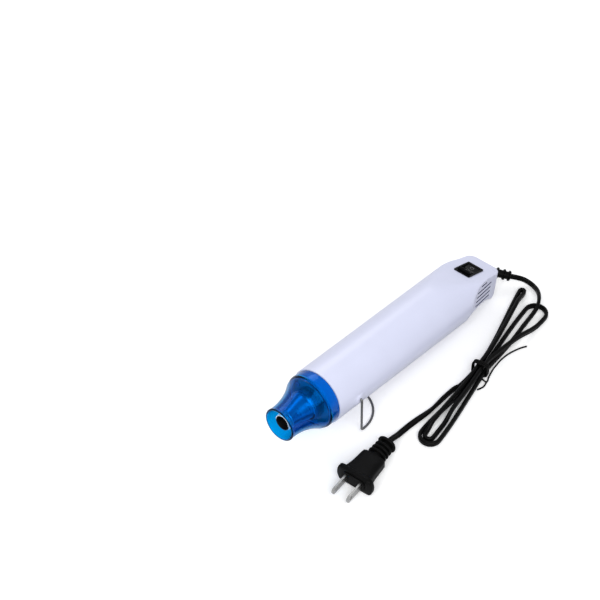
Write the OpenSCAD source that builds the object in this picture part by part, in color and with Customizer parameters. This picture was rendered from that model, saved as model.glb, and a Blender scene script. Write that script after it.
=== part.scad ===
// Embossing heat tool on its wire stand: a pencil-shaped hot-air gun with a caged steel nozzle,
// a rocker switch on the tail pad, and a flat twin mains cord tied in a hank with its two-blade plug.
// Barrel frame: +X runs from the nozzle to the tail, +Z up, with x = 0 at the rear edge of the guard.
// Standing frame: the surface that the tool rests on is z = 0, under the middle of the tool.

/* [Barrel] */
// Outer diameter of the barrel at its front edge
barrel_d = 45; // [43:0.5:48]
// Growth of the barrel's radius from its front edge to its tail, for the mould's draft
barrel_draft = 1.4; // [0.6:0.1:2]
// Length of the barrel from its front edge to its rear face
barrel_len = 204.5; // [200:0.5:212]
// Wall of the moulded barrel
barrel_wall = 2.2; // [1.8:0.1:2.6]
// Length of the spigot that the guard slips over
spigot_len = 7.5; // [6:0.5:7.5]
// Wall of the spigot
spigot_wall = 2; // [1.6:0.1:2.4]

/* [Tail] */
// Height of the switch pad above the axis, at the front edge of the switch
pad_h = 16.5; // [16:0.1:17.5]
// Slope of the switch pad, falling toward the tail, in degrees
pad_slope = 13; // [11:0.5:14]
// Distance from the barrel's front edge to the front edge of the switch
pad_x = 169.2; // [166:0.2:172]
// Half width of the tail between its flat sides
tail_half_w = 17; // [16.2:0.1:18]
// Radius of the round front end of each side scoop
scoop_r = 21.5; // [20:0.5:23]
// Distance from the barrel's front edge to the middle of the side scoop's round end
scoop_x = 176.5; // [175:0.5:179]
// Height of the middle of the side scoop's round end, from the axis
scoop_z = -6.5; // [-8:0.5:-5]
// Radius where a side scoop's wall runs out into the barrel
scoop_fillet = 4; // [3:0.5:5]
// Angle that each flat side draws in by, toward the tail
side_taper = 4; // [2:0.5:5]
// Radius of the hollow under the tail
belly_r = 31.6; // [29:0.2:34]
// Distance from the barrel's front edge to the middle of the hollow under the tail
belly_x = 179.5; // [178:0.5:181]
// Depth of the tail below the axis, at its waist
belly_depth = 14.4; // [14:0.2:15.4]
// Radius along the tail's lower edges
lower_edge_r = 5; // [3:0.5:6]
// Radius of the tail's two rear corners, seen from above
rear_corner_r = 6; // [4:0.5:7]
// Radius of the tail's lower rear edge, seen from the side
heel_r = 8; // [6:0.5:9]

/* [Vents] */
// Height of one vent slot
vent_h = 1.5; // [1.2:0.1:1.8]
// Pitch of the vent slots
vent_pitch = 4.4; // [4:0.1:4.6]
// Number of vent slots in each side
vent_count = 5; // [3:1:5]
// Height of the top slot above the axis
vent_top_z = 9.2; // [8.4:0.2:9.6]

/* [Guard] */
// Radius of the guard's rear band, outside
guard_band_r = 21.8; // [21.5:0.1:22.4]
// Length of the rear band
guard_band_len = 9; // [8.5:0.1:9.4]
// Outer radius of the guard's neck
guard_neck_r = 12.9; // [12.7:0.1:13.6]
// Radius of the flare between the band and the neck
guard_flare_r = 44.9; // [43:0.5:47]
// Overall length of the guard
guard_len = 40.4; // [39.6:0.2:42]
// Outer radius of the rolled lip
guard_lip_r = 13.4; // [13.2:0.1:14.2]
// Wall of the guard
guard_wall = 1.5; // [1.3:0.1:1.6]

/* [Nozzle] */
// Bore radius of the steel nozzle's tip
tip_bore_r = 5.7; // [5.2:0.1:5.8]
// Wall of the steel nozzle
tip_wall = 0.5; // [0.4:0.05:0.6]
// Distance that the tip sits behind the guard's mouth
tip_recess = 3.4; // [2.6:0.2:5]
// Length of the straight tip tube
tip_len = 6; // [5:0.5:7]
// Radius of the nozzle cone at its wide end
cone_r = 9.8; // [9:0.1:10.4]
// Radius of the rolled beads on the tip tube
bead_r = 6.9; // [6.7:0.1:7.2]
// Radius of the nozzle's rear rim
rim_r = 11; // [10.8:0.1:11.4]

/* [Heater] */
// Outer radius of the steel heater tube
tube_r = 12; // [11.6:0.1:12.4]
// Wall of the heater tube
tube_wall = 0.6; // [0.5:0.05:0.7]
// Length of the heater tube behind the barrel's front edge
tube_back = 50; // [47:0.5:54]
// Wall of the mica sleeve
mica_wall = 0.4; // [0.3:0.05:0.5]
// Thickness of the two crossed mica boards
board_t = 0.6; // [0.5:0.05:0.8]
// Diameter of the heating wire
wire_coil_d = 0.9; // [0.7:0.1:1]
// Number of turns of heating wire
coil_turns = 10; // [8:1:11]

/* [Fan and motor] */
// Radius of the fan duct, outside
duct_r = 20.3; // [19.8:0.1:20.4]
// Wall of the fan duct
duct_wall = 1.2; // [1:0.1:1.6]
// Length of the fan duct's straight part
duct_len = 19; // [17:0.5:22]
// Length of the funnel between the duct and the heater tube
funnel_len = 12; // [10:0.5:14]
// Gap between the fan's blades and the duct
fan_gap = 0.6; // [0.4:0.1:1]
// Radius of the fan's hub
hub_r = 6; // [5:0.5:7]
// Depth of the fan's hub and blades
fan_depth = 10; // [9:0.5:12]
// Number of fan blades
blade_count = 7; // [5:1:9]
// Radius of the motor's can
motor_r = 12.1; // [11.5:0.1:13]
// Length of the motor's can
motor_len = 31; // [28:0.5:34]
// Diameter of the motor's shaft
shaft_d = 2; // [1.8:0.1:2.4]
// Radial clearance of the shaft in its bearings
shaft_fit = 0.03; // [0.02:0.01:0.06]

/* [Switch] */
// Length of the switch bezel along the pad
bezel_l = 21.4; // [21:0.1:22]
// Width of the switch bezel
bezel_w = 15; // [14.8:0.1:15.4]
// Height that the bezel stands above the pad
bezel_h = 1; // [0.8:0.1:1.4]
// Angle that the rocker turns through between its two stops
rocker_throw = 20; // [16:1:22]

/* [Stand] */
// Diameter of the stand's wire
stand_wire_d = 1.8; // [1.6:0.1:2]
// Half the distance between the stand's two legs
stand_half_w = 24.5; // [24.4:0.1:25.4]
// Length of each leg from the pivot to the middle of the foot
stand_leg = 34.5; // [33.5:0.1:36]
// Straight length at each end of the stand's base, before the half round
stand_base = 4.4; // [4:0.1:6]
// Distance from the barrel's front edge to the stand's pivot
pivot_x = 21.4; // [19:0.1:24]
// Distance of the stand's pivot below the axis
pivot_drop = 1.6; // [0.8:0.1:3]
// Radius of the moulded lugs that carry the pivots
lug_r = 4; // [3.4:0.1:4.4]

/* [Cord and plug] */
// Width of the flat twin cord
cord_w = 4.8; // [4.4:0.1:5]
// Thickness of the flat twin cord
cord_t = 3; // [2.8:0.1:3.2]
// Diameter of the wire that ties the hank
tie_d = 1.3; // [1.1:0.1:1.4]
// Width of the plug's flange over its ears
plug_flange_w = 30.8; // [29.5:0.1:33]
// Height of the plug's flange
plug_flange_h = 16; // [15:0.5:17]
// Width of the plug's body at its neck
plug_neck_w = 22.6; // [21.5:0.1:24]
// Width of the plug's body at its shoulder
plug_shoulder_w = 19.4; // [18:0.1:20]
// Length of the plug's body from the flange's face to the shoulder
plug_body_len = 26; // [25:0.5:28]
// Width of a plug blade
blade_w = 6.35; // [6.2:0.05:6.5]
// Thickness of a plug blade
blade_t = 1.5; // [1.4:0.05:1.6]
// Length of a plug blade in front of the flange
blade_len = 16.5; // [15.9:0.1:18]
// Distance between the two plug blades
blade_pitch = 12.7; // [12.5:0.1:12.9]

/* [Hidden] */
$fn = 64;
white = [0.85, 0.86, 0.95];
blue = [0.02, 0.28, 0.72];
steel = [0.72, 0.72, 0.74];
black = [0.05, 0.05, 0.055];
mica = [0.78, 0.72, 0.6];
amber = [0.62, 0.48, 0.22];
eps = 0.01;
fit = 0.1;
slip = 0.2;
far = 60;

// Sizes of the barrel that follow from those above.
barrel_r = barrel_d / 2;
function barrel_r_at(x) = barrel_r + barrel_draft * x / barrel_len;
cavity_front = 2.5;
spigot_r = guard_band_r - guard_wall - slip;
spigot_bore_r = spigot_r - spigot_wall;
belly_z = -(belly_depth + belly_r);
function belly_start(r) = belly_x - sqrt(pow(belly_r, 2) - pow(-belly_z - r, 2));
rest_x = belly_start(barrel_r_at(belly_start(barrel_r_at(belly_x - belly_r / 2))));
rest_r = barrel_r_at(rest_x);

// The tool leans on the end of its full barrel and on the foot of its stand.
stand_r = stand_wire_d / 2;
pivot_z = -pivot_drop;
lean_run = rest_x - pivot_x;
lean_rise = rest_r + pivot_z;
tilt = asin((stand_leg + stand_r) / sqrt(pow(lean_run, 2) + pow(lean_rise, 2))) - atan2(lean_rise, lean_run);
axis_h = rest_x * sin(tilt) + rest_r * cos(tilt);
lip_bead_r = (guard_lip_r - guard_neck_r) / 2 + guard_wall / 2;
lip_x = -guard_len + lip_bead_r;
lip_r = guard_lip_r - lip_bead_r;
pad_rear_z = pad_h - (barrel_len - pad_x) * tan(pad_slope);
front_reach = lip_x * cos(tilt) - lip_r * sin(tilt) - lip_bead_r;
rear_reach = barrel_len * cos(tilt) + pad_rear_z * sin(tilt);
place_x = -(front_reach + rear_reach) / 2;
function standing(p) = [place_x + p.x * cos(tilt) + p.z * sin(tilt), p.y, axis_h - p.x * sin(tilt) + p.z * cos(tilt)];
pivot_at = standing([pivot_x, 0, pivot_z]);

module placed() {
  translate([place_x, 0, axis_h]) rotate([0, tilt, 0]) children();
}

// Turns a profile of [radius, x] points round the barrel's axis.
module turned() {
  rotate([0, 90, 0]) rotate_extrude() children();
}

// A bar along the barrel's axis from x0 to x1.
module bar(r, x0, x1) {
  translate([x0, 0, 0]) rotate([0, 90, 0]) cylinder(r = r, h = x1 - x0);
}

module ring(r_out, r_in, x0, x1) {
  difference() {
    bar(r_out, x0, x1);
    bar(r_in, x0 - 1, x1 + 1);
  }
}

// Puts a piece on the switch pad: x runs along the pad from the switch's front edge, z stands off it.
module on_pad() {
  translate([pad_x, 0, pad_h]) rotate([0, pad_slope, 0]) children();
}

// A profile in the barrel's side view, [x, z], as thick as w across it.
module side_slab(w) {
  rotate([90, 0, 0]) linear_extrude(w, center = true) children();
}

function arc(c, r, a0, a1, n) = [for (i = [0:n]) let (a = a0 + (a1 - a0) * i / n) c + r * [cos(a), sin(a)]];

// The barrel's solid shape, or its cavity when it is drawn in by the wall.
module housing_form(inset) {
  rear = barrel_len - inset;
  difference() {
    turned() polygon([[0, 0], [barrel_r - inset, 0], [barrel_r_at(barrel_len) - inset, rear], [0, rear]]);
    on_pad() translate([-far, -far, -inset]) cube([3 * far, 2 * far, far]);
    for (side = [-1, 1]) scoop_cut(side, inset);
    belly_cut(inset);
    rear_cut(inset);
  }
}

// Each side scoop is a round-ended pocket that leaves a flat side, slightly drawn in toward the tail.
module scoop_cut(side, inset) {
  r = scoop_r + inset;
  run_out = scoop_fillet + inset / 2;
  wall_y = tail_half_w - inset;
  pocket = concat([[0, 0], [r - run_out, 0]], arc([r - run_out, run_out], run_out, -90, 0, 8), [[r, far], [0, far]]);
  mirror([0, side < 0 ? 1 : 0, 0])
    translate([scoop_x, wall_y, scoop_z]) rotate([0, 0, -side_taper]) {
      rotate([-90, 0, 0]) rotate_extrude() polygon(pocket);
      rotate([0, 90, 0]) linear_extrude(far) for (m = [0, 1]) mirror([m, 0]) polygon(pocket);
    }
}

// The hollow under the tail, with its two long edges rounded along the same arc.
module belly_cut(inset) {
  r = belly_r + inset;
  half = tail_half_w - inset;
  edge = lower_edge_r - inset;
  translate([belly_x, 0, belly_z]) rotate([90, 0, 0]) {
    cylinder(r = r, h = 2 * far, center = true, $fn = 128);
    for (side = [0, 1]) mirror([0, 0, side]) rotate_extrude($fn = 128)
      difference() {
        translate([r - 1, half - edge]) square([edge + 1, edge + far / 2]);
        translate([r + edge, half - edge]) circle(r = edge);
        translate([r + edge - eps, half - edge - eps]) mirror([0, 1]) square([edge, edge]);
      }
  }
}

// The rounded rear corners and the rounded heel below them.
module rear_cut(inset) {
  corner = rear_corner_r - inset;
  heel = heel_r - inset;
  rear = barrel_len - inset;
  corner_x = rear - corner;
  corner_y = tail_half_w - inset - (corner_x - scoop_x) * tan(side_taper) - corner / cos(side_taper);
  for (side = [0, 1]) mirror([0, side, 0]) translate([corner_x, corner_y, -far])
    linear_extrude(2 * far) difference() {
      square(far / 2);
      circle(r = corner);
    }
  heel_x = rear - heel;
  heel_z = belly_z + sqrt(pow(belly_r + inset, 2) - pow(heel_x - belly_x, 2)) + heel;
  side_slab(2 * far) translate([heel_x, heel_z]) difference() {
    mirror([0, 1]) square(far / 2);
    circle(r = heel);
  }
}

// Barrel: one moulded tube, open in front, closed by the guard.
cord_hole_z = -4;
relief_neck_r = 4.2;
pivot_hole_r = stand_r + 0.05;
leg_gap = 0.25;
lug_top_y = stand_half_w - stand_r - leg_gap;
screw_head_r = 2.2;
boss_r = 2.4;
boss_pcr = spigot_bore_r - screw_head_r - fit;
boss_web_t = 2.4;
boss_end = 8;
pilot_r = 1.05;
plate_front = -spigot_len + 1.5;
plate_t = 2.8;
plate_back = plate_front + plate_t;
vent_rear_x = 190.5;
vent_front_gap = 2.6;
vent_pad_gap = 3.4;

module barrel() {
  color(white) placed() difference() {
    union() {
      housing_form(0);
      bar(spigot_r, -spigot_len, 1);
      for (side = [-1, 1]) pivot_lug(side);
    }
    difference() {
      union() {
        intersection() {
          housing_form(barrel_wall);
          bar(far, cavity_front, barrel_len + far);
        }
        bar(spigot_bore_r, -spigot_len - 1, cavity_front + eps);
      }
      for (k = [0:2]) rotate([60 + 120 * k, 0, 0]) translate([0, 0, boss_pcr]) {
        bar(boss_r, plate_back, boss_end);
        translate([plate_back, -boss_web_t / 2, 0]) cube([boss_end - plate_back, boss_web_t, 2 * boss_r + barrel_wall]);
      }
    }
    for (k = [0:2]) rotate([60 + 120 * k, 0, 0]) translate([0, 0, boss_pcr]) bar(pilot_r, plate_back - 1, boss_end - 1);
    on_pad() translate([switch_inset - slip, -switch_w / 2 - slip, -2 * barrel_wall])
      cube([switch_l + 2 * slip, switch_w + 2 * slip, 4 * barrel_wall]);
    for (side = [0, 1]) mirror([0, side, 0]) vent_slots();
    translate([0, 0, cord_hole_z]) bar(relief_neck_r + fit, barrel_len - 2 * barrel_wall, barrel_len + 1);
    translate([pivot_x, 0, pivot_z]) rotate([90, 0, 0]) cylinder(r = pivot_hole_r, h = 3 * barrel_d, center = true);
  }
}

// A round boss on each side of the barrel carries the stand's wire.
module pivot_lug(side) {
  edge = 0.5;
  translate([pivot_x, 0, pivot_z]) rotate([-90 * side, 0, 0]) {
    translate([0, 0, barrel_r - 4]) cylinder(r = lug_r, h = lug_top_y - edge - barrel_r + 4);
    translate([0, 0, lug_top_y - edge]) cylinder(r1 = lug_r, r2 = lug_r - edge, h = edge);
  }
}

// Vent slots, each starting where the scoop's wall begins and ending below the sloping pad.
module vent_slots() {
  for (k = [0:vent_count - 1]) {
    z = vent_top_z - vent_pitch * k;
    reach = sqrt(max(1, pow(scoop_r - scoop_fillet - vent_front_gap, 2) - pow(z - scoop_z, 2)));
    x0 = max(scoop_x - reach, scoop_x - 6);
    x1 = min(vent_rear_x, pad_x + (pad_h - vent_pad_gap - z - vent_h / 2) / tan(pad_slope));
    translate([x0, tail_half_w - 3 * barrel_wall, z - vent_h / 2])
      cube([x1 - x0, 4 * barrel_wall, vent_h]);
  }
}

// Guard: a moulded shell that flares from the neck to the rear band, with a rolled lip.
neck_end_x = -36;
function flare_r_at(x, wall) = guard_neck_r + guard_flare_r - sqrt(pow(guard_flare_r + wall, 2) - pow(x - neck_end_x, 2));
flare_start_x = -(guard_band_len + 1.4);

module nozzle_guard() {
  shoulder = 1.5;
  flare_steps = 14;
  inner_start_x = -(guard_band_len - 0.6);
  outer = concat([[guard_band_r, 0]],
    arc([guard_band_r - shoulder, -guard_band_len + 0.6], shoulder, 0, -50, 4),
    [for (i = [0:flare_steps]) let (x = flare_start_x + (neck_end_x - flare_start_x) * i / flare_steps)
      [flare_r_at(x, 0), x]],
    [[guard_neck_r, lip_x + lip_bead_r + 0.3]],
    arc([lip_r, lip_x], lip_bead_r, 25, -180, 12));
  inner = concat([[guard_neck_r - guard_wall, lip_x]],
    [for (i = [0:flare_steps]) let (x = neck_end_x + (inner_start_x - neck_end_x) * i / flare_steps)
      [flare_r_at(x, guard_wall), x]],
    [[guard_band_r - guard_wall, -spigot_len - fit], [guard_band_r - guard_wall, 0]]);
  color(blue) placed() turned() polygon(concat(outer, inner));
}

// Steel nozzle: a drawn cone with a straight tip, two rolled beads and a rear rim.
tip_x = -guard_len + tip_recess;
tip_r = tip_bore_r + tip_wall;
tip_end_x = tip_x + tip_len;
rim_t = 0.8;
tube_face_x = -13.8;
cone_end_x = tube_face_x - rim_t;

module heater_nozzle() {
  bead = bead_r - tip_r;
  outer = concat([[tip_r, tip_x]],
    [for (b = [2, 4.5]) each arc([tip_r, tip_x + b], bead, -90, 90, 6)],
    [[tip_r, tip_end_x], [cone_r, cone_end_x], [rim_r, cone_end_x], [rim_r, tube_face_x]]);
  inner = [[cone_r - tip_wall, tube_face_x], [cone_r - tip_wall, cone_end_x], [tip_bore_r, tip_end_x - tip_wall / 2],
           [tip_bore_r, tip_x]];
  color(steel) placed() turned() polygon([for (p = concat(outer, inner)) [p.x, p.y]]);
}

// Heater tube: a steel tube with a flanged front face, through the front plate to the fan duct.
module heater_tube() {
  color(steel) placed() {
    ring(tube_r, tube_r - tube_wall, tube_face_x, tube_back);
    ring(tube_r + 0.5, cone_r - 0.6, tube_face_x, tube_face_x + rim_t);
  }
}

// Front plate: a heat-proof moulded disc, screwed to three bosses inside the barrel's spigot.
screw_head_h = 1.2;
screw_slot_w = 0.6;
plate_collar_t = 1.1;
plate_collar_l = 6;

module front_plate() {
  color(black) placed() difference() {
    union() {
      bar(spigot_bore_r - fit, plate_front, plate_back);
      bar(tube_r + plate_collar_t, plate_front, plate_back + plate_collar_l);
    }
    bar(tube_r + fit / 2, plate_front - 1, plate_back + plate_collar_l + 1);
    for (k = [0:2]) rotate([60 + 120 * k, 0, 0]) translate([0, 0, boss_pcr]) bar(pilot_r + 0.4, plate_front - 1, plate_back + 1);
  }
}

module plate_screws() {
  color(steel) placed() for (k = [0:2]) rotate([60 + 120 * k, 0, 0]) translate([0, 0, boss_pcr]) difference() {
    union() {
      bar(pilot_r - 0.02, plate_front - eps, boss_end - 2);
      bar(screw_head_r, plate_front - screw_head_h, plate_front);
    }
    translate([plate_front - screw_head_h - 0.1, -screw_head_r - 1, -screw_slot_w / 2])
      cube([screw_head_h / 2 + 0.1, 2 * screw_head_r + 2, screw_slot_w]);
  }
}

// Mica sleeve, crossed mica boards with end tabs, and the heating wire wound round the boards.
sleeve_r = tube_r - tube_wall - fit;
sleeve_front = tube_face_x + 6;
board_front = sleeve_front + 2;
board_back = tube_back - 4;
tab_len = 3;
coil_r = 9.3;
board_half = coil_r - wire_coil_d / 2 - slip;

module mica_sleeve() {
  color(mica) placed() ring(sleeve_r, sleeve_r - mica_wall, sleeve_front, tube_back - 2);
}

module mica_former() {
  tab_half = sleeve_r - mica_wall - fit;
  color(mica) placed() for (a = [0, 90]) rotate([a, 0, 0]) {
    translate([board_front, -board_half, -board_t / 2]) cube([board_back - board_front, 2 * board_half, board_t]);
    for (x = [board_front, board_back - tab_len]) translate([x, -tab_half, -board_t / 2]) cube([tab_len, 2 * tab_half, board_t]);
  }
}

coil_front = board_front + tab_len + 1.5;
coil_back = board_back - tab_len - 1.5;
coil_steps = 8;
coil_path = [for (i = [0:coil_turns * coil_steps]) let (a = 360 * i / coil_steps)
  standing([coil_front + (coil_back - coil_front) * i / (coil_turns * coil_steps), coil_r * cos(a), coil_r * sin(a)])];

module heating_coil() {
  color(steel) sweep(coil_path, ring_of(6, wire_coil_d / 2), false);
}

// Thermal cut-out and fuse, held in the notches of the former behind the sleeve.
cutout_l = 8;
module thermal_cutout() {
  color(steel) placed() translate([board_back + 0.05, -2.5, 0.8]) cube([cutout_l, 5, 2.6]);
}

module thermal_fuse() {
  color(black) placed() translate([0, 0, -2.2]) {
    bar(1.5, board_back + 0.05, board_back + 9);
    bar(0.4, board_back + 9 - eps, board_back + 12);
  }
}

// Fan duct: a moulded funnel from the fan to the heater tube.
funnel_back = tube_back - 3 + funnel_len;
duct_back = funnel_back + duct_len;

module fan_duct() {
  collar_r = tube_r + fit / 2;
  outer = [[collar_r + duct_wall, tube_back - 9], [collar_r + duct_wall, tube_back - 3],
           [duct_r, funnel_back], [duct_r, duct_back]];
  inner = [[duct_r - duct_wall, duct_back], [duct_r - duct_wall, funnel_back + 0.5],
           [tube_r - tube_wall, tube_back + 0.8], [tube_r - tube_wall, tube_back + fit], [collar_r, tube_back + fit],
           [collar_r, tube_back - 9]];
  color(black) placed() turned() polygon(concat(outer, inner));
}

// Fan: a hub with pitched blades, pressed on the motor's shaft.
fan_r = duct_r - duct_wall - fan_gap;
mount_t = 2.4;
fan_back = duct_back - 3;
fan_front = fan_back - fan_depth;
blade_pitch_a = 38;
fan_blade_t = 1.1;

module fan_impeller() {
  color(black) placed() difference() {
    union() {
      bar(hub_r, fan_front, fan_back);
      translate([fan_front - 1.6, 0, 0]) rotate([0, 90, 0]) cylinder(r1 = hub_r - 1.6, r2 = hub_r, h = 1.6);
      intersection() {
        ring(fan_r, hub_r - 1, fan_front, fan_back);
        for (k = [0:blade_count - 1]) rotate([360 * k / blade_count, 0, 0])
          translate([(fan_front + fan_back) / 2, 0, 0]) rotate([0, 0, blade_pitch_a])
            translate([-far / 2, -fan_blade_t / 2, 0]) cube([far, fan_blade_t, far]);
      }
    }
    bar(shaft_d / 2, fan_front - 3, fan_back + 1);
  }
}

// Motor mount: a spider plate behind the fan, with the motor screwed to it.
mount_front = duct_back;
mount_back = mount_front + mount_t;
motor_back = mount_back + motor_len;
motor_boss_r = 3;
motor_boss_l = 1.6;
motor_screw_r = 1.2;
motor_screw_pcr = 8.5;

module motor_mount() {
  color(black) placed() difference() {
    bar(duct_r, mount_front, mount_back);
    bar(motor_boss_r + fit, mount_front - 1, mount_back + 1);
    for (side = [-1, 1]) translate([0, side * motor_screw_pcr, 0]) bar(motor_screw_r + fit, mount_front - 1, mount_back + 1);
    for (k = [0:3]) rotate([45 + 90 * k, 0, 0]) translate([mount_front - 1, 0, 0]) rotate([0, 90, 0])
      rotate([0, 0, -32]) rotate_extrude(angle = 64) translate([motor_r + 0.8, 0]) square([duct_r - 2 - motor_r - 0.8, mount_t + 2]);
  }
}

module motor_screws() {
  color(steel) placed() for (side = [-1, 1]) translate([0, side * motor_screw_pcr, 0]) {
    bar(motor_screw_r, mount_front, mount_back + 3);
    bar(2.1, mount_front - 1.1, mount_front);
  }
}

module motor_body() {
  color(steel) placed() difference() {
    union() {
      turned() polygon([[0, mount_back], [motor_r - 0.8, mount_back], [motor_r, mount_back + 0.8],
                        [motor_r, motor_back - 1], [motor_r - 1, motor_back], [0, motor_back]]);
      bar(motor_boss_r, mount_back - motor_boss_l, mount_back + 1);
      bar(motor_boss_r + 2, motor_back - 1, motor_back + 1.4);
    }
    bar(shaft_d / 2 + shaft_fit, mount_front - 2, motor_back + 3);
    for (side = [-1, 1]) translate([0, side * motor_screw_pcr, 0]) bar(motor_screw_r, mount_back - 1, mount_back + 3 + eps);
  }
}

module motor_shaft() {
  color(steel) placed() bar(shaft_d / 2, fan_front - 1.6, motor_back + 3);
}

// Rectifier board on the motor's rear boss, with four diodes.
board_front_x = motor_back + 1.4;
pcb_t = 1.6;
pcb_r = 11;
diode_r = 1.35;
diode_l = 4.2;

module rectifier_board() {
  color(amber) placed() difference() {
    bar(pcb_r, board_front_x, board_front_x + pcb_t);
    bar(shaft_d / 2 + 1, board_front_x - 1, board_front_x + pcb_t + 1);
  }
}

module rectifier_diodes() {
  color(black) placed() for (k = [0:3]) translate([board_front_x + pcb_t + diode_r, -6 + 4 * k, 0])
    translate([0, 0, k == 1 || k == 2 ? 4.2 : -diode_l / 2]) cylinder(r = diode_r, h = diode_l);
}

// Rocker switch: a snap-in body with a bezel, and a rocker on two pins.
switch_l = bezel_l - 2.2;
switch_w = bezel_w - 2;
switch_inset = (bezel_l - switch_l) / 2;
switch_depth = 12.5;
rocker_half_l = switch_l / 2 - 1.7;
rocker_half_w = switch_w / 2 - 0.8;
rocker_gap = 0.35;
rocker_pivot_x = bezel_l / 2;
rocker_pivot_z = -1;
rocker_pin_r = 1;
rocker_well = 5.5;
rocker_at = standing([pad_x + rocker_pivot_x * cos(pad_slope) + rocker_pivot_z * sin(pad_slope), 0,
                      pad_h - rocker_pivot_x * sin(pad_slope) + rocker_pivot_z * cos(pad_slope)]);

module switch_body() {
  well_half_l = rocker_half_l + 0.6;
  color(black) placed() on_pad() difference() {
    union() {
      translate([switch_inset, -switch_w / 2, -switch_depth]) cube([switch_l, switch_w, switch_depth + eps]);
      translate([bezel_l / 2, 0, 0]) bezel_block();
    }
    translate([rocker_pivot_x - well_half_l, -rocker_half_w - rocker_gap, -rocker_well])
      cube([2 * well_half_l, 2 * (rocker_half_w + rocker_gap), far]);
    translate([rocker_pivot_x, 0, rocker_pivot_z]) rotate([90, 0, 0])
      cylinder(r = rocker_pin_r + 0.05, h = switch_w + 0.2, center = true);
  }
}

module bezel_block() {
  corner = 1;
  for (m = [0, 1]) linear_extrude(bezel_h) {
    square([bezel_l - 2 * corner * m, bezel_w - 2 * corner * (1 - m)], center = true);
  }
  for (sx = [-1, 1], sy = [-1, 1]) translate([sx * (bezel_l / 2 - corner), sy * (bezel_w / 2 - corner), 0])
    cylinder(r = corner, h = bezel_h);
}

module switch_rocker() {
  top = 2.9;
  dip = 1.3;
  outline = [[-rocker_half_l, top], [0, dip], [rocker_half_l, top], [rocker_half_l, 0.6],
             [3, -2.8], [-3, -2.8], [-rocker_half_l, 0.6]];
  color(black) placed() on_pad() translate([rocker_pivot_x, 0, rocker_pivot_z]) rotate([0, rocker_throw / 2, 0]) {
    side_slab(2 * rocker_half_w) polygon(outline);
    rotate([90, 0, 0]) cylinder(r = rocker_pin_r, h = switch_w - 0.1, center = true);
  }
}

module switch_terminals() {
  tab = [0.8, 4.8, 7];
  color(amber) placed() on_pad() for (k = [-1:1])
    translate([bezel_l / 2 + 6.2 * k - tab.x / 2, -tab.y / 2, -switch_depth - tab.z]) difference() {
      cube(tab);
      translate([-1, tab.y / 2, 2.4]) rotate([0, 90, 0]) cylinder(r = 0.8, h = 3);
    }
}

// Wire stand: one bent wire, its two ends turned into the lugs, its half-round base flat on the surface.
pin_end_y = barrel_r - 3;
pin_bend_r = 1.1;
foot_bend_r = 2.5;

module stand_bail() {
  color(steel) translate(pivot_at) {
    for (side = [0, 1]) mirror([0, side, 0]) translate([0, stand_half_w, 0]) {
      translate([0, -pin_bend_r, 0]) rotate([90, 0, 0]) cylinder(r = stand_r, h = stand_half_w - pin_bend_r - pin_end_y);
      translate([0, -pin_bend_r, -pin_bend_r]) rotate([0, -90, 0]) rotate_extrude(angle = 90)
        translate([pin_bend_r, 0]) circle(r = stand_r);
      translate([0, 0, -stand_leg + foot_bend_r]) cylinder(r = stand_r, h = stand_leg - foot_bend_r - pin_bend_r);
      translate([foot_bend_r, 0, -stand_leg + foot_bend_r]) rotate([90, 0, 0]) rotate([0, 0, 180])
        rotate_extrude(angle = 90) translate([foot_bend_r, 0]) circle(r = stand_r);
      translate([foot_bend_r, 0, -stand_leg]) rotate([0, 90, 0]) cylinder(r = stand_r, h = stand_base - foot_bend_r);
    }
    translate([stand_base, 0, -stand_leg]) rotate([0, 0, -90]) rotate_extrude(angle = 180)
      translate([stand_half_w, 0]) circle(r = stand_r);
  }
}

// A tube swept along a path. The section is a list of [across, up] points, and up stays near vertical
// on a cord; on a coil it follows the path.
function unit(v) = v / norm(v);
function ring_of(n, r) = [for (i = [0:n - 1]) r * [cos(360 * i / n), sin(360 * i / n)]];
function heading(path, i) = unit(path[min(i + 1, len(path) - 1)] - path[max(i - 1, 0)]);
function turn2(p, a) = [p.x * cos(a) - p.y * sin(a), p.x * sin(a) + p.y * cos(a)];

module sweep(path, section, upright = true, roll = [0]) {
  n = len(section);
  last = len(path) - 1;
  points = [for (i = [0:last]) let (
      t = heading(path, i),
      ref = upright ? [0, 0, 1] : unit([cos(tilt), 0, -sin(tilt)]),
      across = unit(cross(t, ref)),
      up = cross(across, t),
      a = len(roll) > i ? roll[i] : roll[len(roll) - 1])
    for (q = section) let (s = turn2(q, a)) path[i] + s.x * across + s.y * up];
  walls = [for (i = [0:last - 1], k = [0:n - 1]) let (
      a = i * n + k, b = i * n + (k + 1) % n, c = a + n, d = b + n)
    each [[a, b, d], [a, d, c]]];
  caps = [for (k = [1:n - 2]) each [[0, k + 1, k], [last * n, last * n + k, last * n + k + 1]]];
  polyhedron(points = points, faces = concat(walls, caps), convexity = 10);
}

// Sections of the flat twin cord, standing on its edge.
cord_hw = cord_t / 2;
cord_hh = cord_w / 2;
cord_ring = [[cord_hw, 0.5 * cord_hh], [0.45 * cord_hw, cord_hh], [-0.45 * cord_hw, cord_hh], [-cord_hw, 0.5 * cord_hh],
             [-cord_hw, -0.5 * cord_hh], [-0.45 * cord_hw, -cord_hh], [0.45 * cord_hw, -cord_hh], [cord_hw, -0.5 * cord_hh]];
hank_ring = [[0.9 * cord_hw, 0.55 * cord_hh], [0, cord_hh], [-0.9 * cord_hw, 0.55 * cord_hh],
             [-0.9 * cord_hw, -0.55 * cord_hh], [0, -cord_hh], [0.9 * cord_hw, -0.55 * cord_hh]];

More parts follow.
